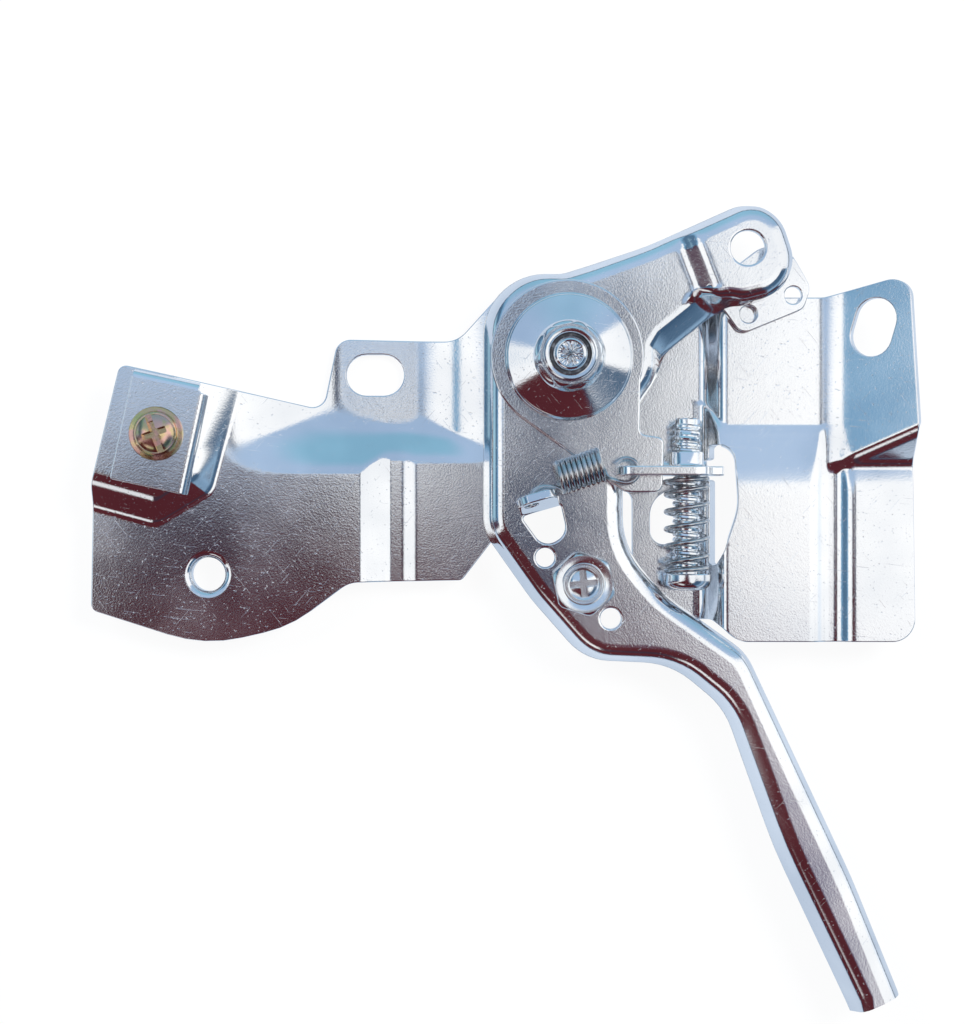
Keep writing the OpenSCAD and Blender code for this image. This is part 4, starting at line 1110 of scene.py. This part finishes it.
def build_limit_screw(sizes):
    """Pan head limit screw along Y, its head towards the handle."""
    r, h, core, tip = sizes.limit_head / MM / 2, 2.9, 2.0, 0.2
    swell, low = h * 0.6, h * 0.4
    crown = [(r - swell + swell * math.cos(a), low + swell * math.sin(a)) for a in np.radians(range(0, 91, 10))]
    shank = [(0, -SCREW_L), (core - tip, -SCREW_L), (core, -SCREW_L + tip), (core, 0)]
    cutters = [cross_cutter(2.1, 1.1, h - 1.9, h + 2), slot_cutter(1.2, h - 1.4, h + 2)]
    form = carved(turned([*shank, (r - 0.2, 0), (r, 0.2), *crown, (0, h)]), cutters)
    at = posed(SCREW, math.pi / 2, "X") @ Matrix.Rotation(0.35, 4, "Z")
    thread = SCREW_D / 2, 1.05, SCREW_L - 1.2
    names = "limit_screw_threaded", "limit_screw"
    return screw_piece(names, "screw", "zinc_hardware", form, at, thread, -SCREW_L + 0.6)


# ---- springs


def build_limit_spring(sizes):
    """Compression spring between the lug and the limit screw's head, with closed ends."""
    wire, turns, lead = sizes.limit_wire / MM, 6.5, 0.06
    r, end = (8.0 - wire) / 2, 0.9 / turns
    y0, y1 = LUG_Y - SHEET - wire / 2 - 0.05, SCREW[1] + wire / 2 + 0.05
    points = []
    steps = int(40 * turns)
    for i in range(steps + 1):
        k = i / steps
        if k < end:
            share = lead * k / end
        elif k > 1 - end:
            share = 1 - lead * (1 - k) / end
        else:
            share = lead + (1 - 2 * lead) * (k - end) / (1 - 2 * end)
        a = 2 * math.pi * turns * k
        points.append((SCREW[0] + r * math.cos(a), y0 + (y1 - y0) * share, SCREW[2] + r * math.sin(a)))
    skin = Skin()
    skin.add_mesh(wire_mesh(points, wire / 2, "spring_steel"), MM)
    obj = piece("limit_screw_spring", skin, None, "spring_steel", "limit_spring")
    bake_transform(obj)
    return obj


def smoothed(points, rounds=2):
    """A path with its corners eased; its ends stay."""
    p = np.array(points, float)
    for _ in range(rounds):
        p[1:-1] = (p[:-2] + 2 * p[1:-1] + p[2:]) / 4
    return p


def build_return_spring(sizes):
    """Extension spring between the two lugs, with a flat loop at each end."""
    wire, turns, steps = sizes.return_wire / MM, 9, 36
    r = (6.2 - wire) / 2
    u, v = HOOK_HOLE[0], HOOK_HOLE[1] * math.sin(HOOK_LUG_LEAN)
    hook_a = np.array([
        HOOK_LUG[0] + u * math.cos(HOOK_LUG_TURN) - v * math.sin(HOOK_LUG_TURN),
        HOOK_LUG[1] + u * math.sin(HOOK_LUG_TURN) + v * math.cos(HOOK_LUG_TURN),
    ])
    hook_b = np.array([LUG_HOOK_X, LUG_Y - SHEET / 2])
    mid = (hook_a + hook_b) / 2 + np.array([-0.5, 2.6])
    turn, long = math.radians(18.2), turns * wire * 1.04

    def on_coil(d, a):
        a = math.radians(a)
        return (
            mid[0] + d * math.cos(turn) - r * math.cos(a) * math.sin(turn),
            mid[1] + d * math.sin(turn) + r * math.cos(a) * math.cos(turn),
            RETURN_Z + r * math.sin(a),
        )

    def on_hook(centre, radius, a):
        a = math.radians(a)
        return (centre[0] + radius * math.cos(a), centre[1] + radius * math.sin(a), RETURN_Z)

    loop_a, loop_b = hook_a + np.array([2.6, 0]), hook_b - np.array([2.1, 0])
    points = [on_hook(loop_a, 2.6, a) for a in range(195, 69, -9)]
    points += [on_hook(loop_a, 3.2, 53), on_hook(loop_a, 3.6, 38)]
    coil = range(steps * turns + 1)
    points += [on_coil(long * (i / steps / turns - 0.5), 180 - 360 / steps * i) for i in coil]
    points += [on_hook(loop_b, 2.45, -122)] + [on_hook(loop_b, 2.1, a) for a in range(-100, 151, 9)]
    skin = Skin()
    skin.add_mesh(wire_mesh(smoothed(points), wire / 2, "spring_steel"), MM)
    obj = piece("lever_return_spring", skin, None, "spring_steel", "return_spring")
    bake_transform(obj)
    return obj


# ---- cable clamp


def build_clamp(sizes):
    """Clamp plate bent down along its right side and its far end."""
    w, long, t, r = sizes.clamp_wide / MM, sizes.clamp_long / MM, 1.2, 1.35
    left, near = -w / 2, -long * 0.53
    fold_u, fold_v = w / 2 + 1.1 - r, long * 0.47 + 1.9 - r
    down = r * math.pi / 2 + 1.15
    side, end, lip = fold_u + down, fold_v + down, fold_v + down + 1.1

    def surface(p):
        u, v = p[:, 0], p[:, 1]
        over_u, over_v = np.clip(u - fold_u, 0, None), np.clip(v - fold_v, 0, None)
        sideways = over_u >= over_v
        over = np.where(sideways, over_u, over_v)
        turn = np.clip(over / r, 0, math.pi / 2)
        past = np.clip(over - r * math.pi / 2, 0, None)
        out, drop = r * np.sin(turn), r * (1 - np.cos(turn)) + past
        x = np.where(sideways, np.minimum(u, fold_u) + out, u)
        y = np.where(sideways, v, np.minimum(v, fold_v) + out)
        up = np.c_[np.where(sideways, np.sin(turn), 0), np.where(sideways, 0, np.sin(turn)), np.cos(turn)]
        return np.c_[x, y, t - drop], up

    edge = [
        (left, near, 0.5), (side, near, 0.5), (side, fold_v - 0.5, 0.5), (fold_u + 0.15, fold_v - 0.3, 0.3),
        (fold_u - 0.3, fold_v + 0.15, 0.3), (fold_u - 0.5, end, 0.5), (left + w * 0.83, end, 0.6),
        (left + w * 0.81, lip, 0.5), (left + w * 0.43, lip, 0.5), (left + w * 0.4, end, 0.6), (left, end, 0.8),
    ]
    skin = Skin()
    hole = round_hole(0, 0, 2.7)
    skin.add_sheet(rounded(edge, gap=0.5), [hole], surface, t, 0.5, edge=0.2, matrix=posed(CLAMP, CLAMP_TURN))
    return piece("cable_clamp_plate", skin, "bracket", "zinc_plate", "cable_clamp")


# ---- stage


def build_camera():
    cam = bpy.data.cameras.new("view")
    cam.sensor_fit, cam.sensor_width, cam.lens = "HORIZONTAL", SENSOR, FOCAL_PIXELS * SENSOR / PHOTO_WIDTH
    cam.clip_start, cam.clip_end = 0.01, 10
    obj = linked("view", cam)
    obj.location = (-14.96 * MM, -26.9 * MM, 0.4)
    bpy.context.scene.camera = obj


def build_world(settings):
    """Studio surround by direction: a white tent with a dark left overhead, a red lower side, a pale far
    side, blue at the low left and a dark low right, down to a dark horizon."""
    world = bpy.data.worlds.new("studio")
    bpy.context.scene.world = world
    world.use_nodes = True
    n = Nodes(world.node_tree)
    span, mix, product, maths = n.span, n.mix, n.product, n.maths
    way = n.nodes.new("ShaderNodeTexCoord").outputs["Generated"]
    x, y, z = n.node("ShaderNodeSeparateXYZ", {0: way}).outputs

    def blend(kx, ky, shift=0.0):
        return maths("ADD", maths("ADD", maths("MULTIPLY", x, kx), maths("MULTIPLY", y, ky)), shift)

    slant = blend(1.0, 0.75)
    low_slant = maths("ADD", slant, span(y, -0.12, -0.35, 0.0, 0.17))
    far_out = maths("SQRT", maths("ADD", maths("POWER", x, 2), maths("POWER", y, 2)))
    color = mix(span(z, 0.0, 0.5), (0.80, 0.88, 0.97), (0.98, 0.99, 1.0))

    far = product(span(blend(-0.6, 1.0), 0.06, 0.12), span(y, 0.0, 0.05), span(blend(0.45, 1.0), -0.12, 0.0))
    color = mix(far, color, mix(span(y, 0.45, 0.9), (0.36, 0.49, 0.68), (0.24, 0.46, 0.62)))

    overhead = product(span(slant, -0.015, -0.07), span(x, -0.25, -0.16), span(y, 0.05, 0.01))
    color = mix(overhead, color, (0.04, 0.028, 0.044))

    red_side = maths("MINIMUM", blend(0.2, 0.0, -0.01), blend(0.55, 0.0, 0.046))
    red_side = maths("MINIMUM", red_side, blend(-0.3, 0.0, -0.02))
    red = product(span(maths("SUBTRACT", y, red_side), 0.012, -0.014), span(low_slant, 0.11, 0.03))
    gap = product(span(z, 0.44, 0.52), span(z, 0.73, 0.66), span(y, -0.5, -0.62), 0.8)
    red = product(red, maths("SUBTRACT", 1.0, gap))
    lilac = product(span(z, 0.9, 0.96), span(x, 0.05, 0.12))
    color = mix(red, color, mix(lilac, (0.085, 0.018, 0.024), (0.19, 0.165, 0.24)))

    low_left = product(span(x, -0.63, -0.68), span(blend(-0.55, 1.0), 0.1, 0.2))
    tone = mix(span(x, -0.72, -0.77), (0.19, 0.37, 0.56), (0.08, 0.16, 0.26))
    tone = mix(span(x, -0.85, -0.95), tone, (0.34, 0.55, 0.68))
    color = mix(low_left, color, mix(span(y, -0.05, -0.2), tone, (0.08, 0.045, 0.07)))

    low_right = product(span(far_out, 0.57, 0.66), span(blend(0.12, 1.0), 0.01, -0.04))
    low_right = product(low_right, span(low_slant, 0.03, 0.1))
    color = mix(low_right, color, mix(span(z, 0.45, 0.15), (0.055, 0.11, 0.19), (0.24, 0.38, 0.54)))

    camera_side = product(span(x, 0.086, 0.066), span(x, -0.02, 0.0), span(y, -0.07, -0.04))
    camera_side = product(camera_side, span(blend(-0.8, 1.0), 0.1, 0.07), 0.97)
    color = mix(camera_side, color, (0.035, 0.05, 0.095))
    color = mix(product(span(z, 0.09, 0.02), 0.9), color, (0.03, 0.05, 0.09))

    sky = n.node("ShaderNodeBackground", {"Color": color, "Strength": settings.surround})
    white = n.node("ShaderNodeBackground", {"Color": (1, 1, 1)})
    rays = n.nodes.new("ShaderNodeLightPath").outputs
    seen = n.mix_shader(rays["Is Camera Ray"], sky.outputs[0], white.outputs[0])
    n.node("ShaderNodeOutputWorld", {"Surface": seen})


def build_floor():
    """White sheet under the bracket, white to the camera and bluish in mirror faces."""
    size, z = 3.0, -0.0048
    corners = [(-size, -size, z), (size, -size, z), (size, size, z), (-size, size, z)]
    floor = loose_object("floor", corners, [(0, 1, 2, 3)])
    p = Paint("floor_white")
    p.nodes.remove(p.shader)
    rays = p.nodes.new("ShaderNodeLightPath").outputs
    away = p.node("ShaderNodeVectorMath", {0: p.place}, operation="LENGTH").outputs["Value"]
    # Painted shade: mirror faces see the floor glow pale blue within 8 cm of the middle, fading to dark blue
    # beyond 40 cm
    painted_shade_reflection = p.mix(p.span(away, 0.08, 0.4), (0.58, 0.68, 0.82), (0.10, 0.15, 0.22))
    seen = p.maths("MAXIMUM", rays["Is Camera Ray"], rays["Is Glossy Ray"])
    seen = p.maths("MAXIMUM", seen, rays["Is Transmission Ray"])
    matt = p.node("ShaderNodeBsdfDiffuse", {"Color": (0.9, 0.9, 0.9)})
    glow = p.node("ShaderNodeEmission", {"Color": p.mix(rays["Is Camera Ray"], painted_shade_reflection, (1, 1, 1))})
    both = p.mix_shader(p.maths("MULTIPLY", seen, 0.93), matt.outputs[0], glow.outputs[0])
    p.put(both, p.out.inputs["Surface"])
    floor.data.materials.append(p.material)


def build_lights(settings):
    for name, spot, size, power, color in (
        ("key", (0.40, 0.22, 0.60), 0.30, settings.key_power, (1.0, 0.99, 0.97)),
        ("fill", (-0.45, 0.30, 0.50), 0.35, settings.fill_power, (0.86, 0.92, 1.0)),
    ):
        lamp = bpy.data.lights.new(name, "AREA")
        lamp.shape, lamp.size, lamp.energy, lamp.color = "DISK", size, power, color
        obj = linked(name, lamp)
        obj.location = spot
        obj.rotation_mode = "QUATERNION"
        obj.rotation_quaternion = Vector(spot).to_track_quat("Z", "Y")
        obj.visible_glossy = False


# ---- add-on classes


def size_of(label, words, value):
    length = {"unit": "LENGTH", "subtype": "DISTANCE"}
    return bpy.props.FloatProperty(name=label, description=words, default=value * MM, **length)


def turn_of(label, words, value):
    return bpy.props.FloatProperty(name=label, description=f"{words} in degrees", default=value)


def color_of(label, words, value):
    color = {"size": 3, "min": 0, "max": 1, "subtype": "COLOR"}
    return bpy.props.FloatVectorProperty(name=label, description=words, default=value, **color)


def power_of(label, words, value):
    return bpy.props.FloatProperty(name=label, description=words, default=value, unit="POWER")


class ThrottleSizes(bpy.types.PropertyGroup):
    slot_long: size_of("Slot Length", "Length of both mounting slots", 10.3)
    slot_wide: size_of("Slot Width", "Width of both mounting slots", 7.3)
    grid: size_of("Sheet Grid", "Distance between points on the stamped sheets", 0.75)
    bend_radius: size_of("Flange Bend", "Outside radius of the lever's flange bend", 2.6)
    flange_lean: turn_of("Flange Lean", "Lean of the lever's flange", 6)
    nut_flats: size_of("Nut Flats", "Lock nut across flats", 10.4)
    nut_turn: turn_of("Nut Turn", "Turn of the lock nut", -17.5)
    bolt_flats: size_of("Bolt Flats", "Bolt head across flats", 10.0)
    bolt_turn: turn_of("Bolt Turn", "Turn of the bolt", 12)
    clamp_head: size_of("Clamp Screw Head", "Diameter of the clamp screw's head", 9.4)
    clamp_wide: size_of("Clamp Width", "Width of the cable clamp's plate", 12.5)
    clamp_long: size_of("Clamp Length", "Length of the cable clamp's plate", 17.7)
    limit_head: size_of("Limit Screw Head", "Diameter of the limit screw's head", 8.4)
    limit_wire: size_of("Limit Spring Wire", "Wire diameter of the limit screw's spring", 0.8)
    return_wire: size_of("Return Spring Wire", "Wire diameter of the return spring", 0.85)


class ThrottleColours(bpy.types.PropertyGroup):
    zinc: color_of("Zinc", "Colour of the bright zinc plating", (0.89, 0.91, 0.94))
    hardware: color_of("Hardware", "Colour of the plated nut, bolt and screws", (0.86, 0.88, 0.91))
    yellow: color_of("Yellow Zinc", "Colour of the passivated clamp screw", (0.72, 0.55, 0.30))
    wire: color_of("Spring Wire", "Colour of the spring wire", (0.66, 0.67, 0.68))
    ring: color_of("Locking Ring", "Colour of the nut's locking ring", (0.03, 0.03, 0.035))


class ThrottleStage(bpy.types.PropertyGroup):
    surround: bpy.props.FloatProperty(
        name="Surround", description="Strength of the studio surround", default=1.08, min=0
    )
    key_power: power_of("Key Light", "Power of the key light", 5.0)
    fill_power: power_of("Fill Light", "Power of the fill light", 3.0)


def operator(suffix, label, words, work):
    """One operator that makes a piece or a group of pieces."""

    def execute(self, context):
        work(context)
        return {"FINISHED"}

    parts = {
        "__doc__": words,
        "bl_idname": f"throttle.{suffix}",
        "bl_label": label,
        "bl_options": {"REGISTER", "UNDO"},
        "execute": execute,
    }
    return type(f"THROTTLE_OT_{suffix}", (bpy.types.Operator,), parts)


def make_finishes(context):
    colors = context.scene.throttle_colours
    plated("zinc_plate", colors.zinc)
    plated("zinc_hardware", colors.hardware, grain=0.7, rough=0.14, scratched=0.6)
    spring_wire("spring_wire", colors.wire)
    passivated("yellow_zinc", colors.yellow)
    moulded_ring("nylon_ring", colors.ring)


def make_stage(context):
    build_camera()
    build_world(context.scene.throttle_stage)
    build_floor()
    build_lights(context.scene.throttle_stage)
    context.scene.view_settings.view_transform = "Standard"


def sized(*makers):
    def work(context):
        for maker in makers:
            maker(context.scene.throttle_sizes)

    return work


PIVOT_STACK = build_stud, build_spacer, build_washer, build_nut
LIMIT_SCREW = build_limit_screw, build_limit_spring
OPERATORS = [
    operator("stage", "Stage", "Camera, floor, surround and lights", make_stage),
    operator("finishes", "Finishes", "Plating, wire and ring materials", make_finishes),
    operator("bracket", "Bracket", "Stamped bracket with its lug and collars", sized(build_bracket)),
    operator("lever", "Lever", "Stamped hand lever with its flanges and arm", sized(build_lever)),
    operator("pivot", "Pivot Stack", "Stud, spacer, washer and lock nut", sized(*PIVOT_STACK)),
    operator("bolt", "Lever Bolt", "Hexagon bolt in the lever", sized(build_bolt)),
    operator("clamp", "Cable Clamp", "Clamp plate and its yellow screw", sized(build_clamp, build_clamp_screw)),
    operator("limit_screw", "Limit Screw", "Threaded limit screw and its spring", sized(*LIMIT_SCREW)),
    operator("return_spring", "Return Spring", "Extension spring between the lugs", sized(build_return_spring)),
]


class THROTTLE_PT_panel(bpy.types.Panel):
    """Lists the operators that build the throttle control."""

    bl_label = "Throttle Control"
    bl_idname = "THROTTLE_PT_panel"
    bl_space_type = "VIEW_3D"
    bl_region_type = "UI"
    bl_category = "Throttle"

    def draw(self, context):
        for settings in ("throttle_sizes", "throttle_colours", "throttle_stage"):
            group = getattr(context.scene, settings)
            for name in group.__annotations__:
                self.layout.prop(group, name)
        for cls in OPERATORS:
            self.layout.operator(cls.bl_idname)


CLASSES = [ThrottleSizes, ThrottleColours, ThrottleStage, *OPERATORS, THROTTLE_PT_panel]
GROUPS = {"throttle_sizes": ThrottleSizes, "throttle_colours": ThrottleColours, "throttle_stage": ThrottleStage}


def register():
    for cls in CLASSES:
        bpy.utils.register_class(cls)
    for name, group in GROUPS.items():
        setattr(bpy.types.Scene, name, bpy.props.PointerProperty(type=group))


def unregister():
    for name in GROUPS:
        delattr(bpy.types.Scene, name)
    for cls in reversed(CLASSES):
        bpy.utils.unregister_class(cls)


def main():
    register()
    for cls in OPERATORS:
        getattr(bpy.ops.throttle, cls.bl_idname.split(".")[1])()


if __name__ == "__main__":
    main()
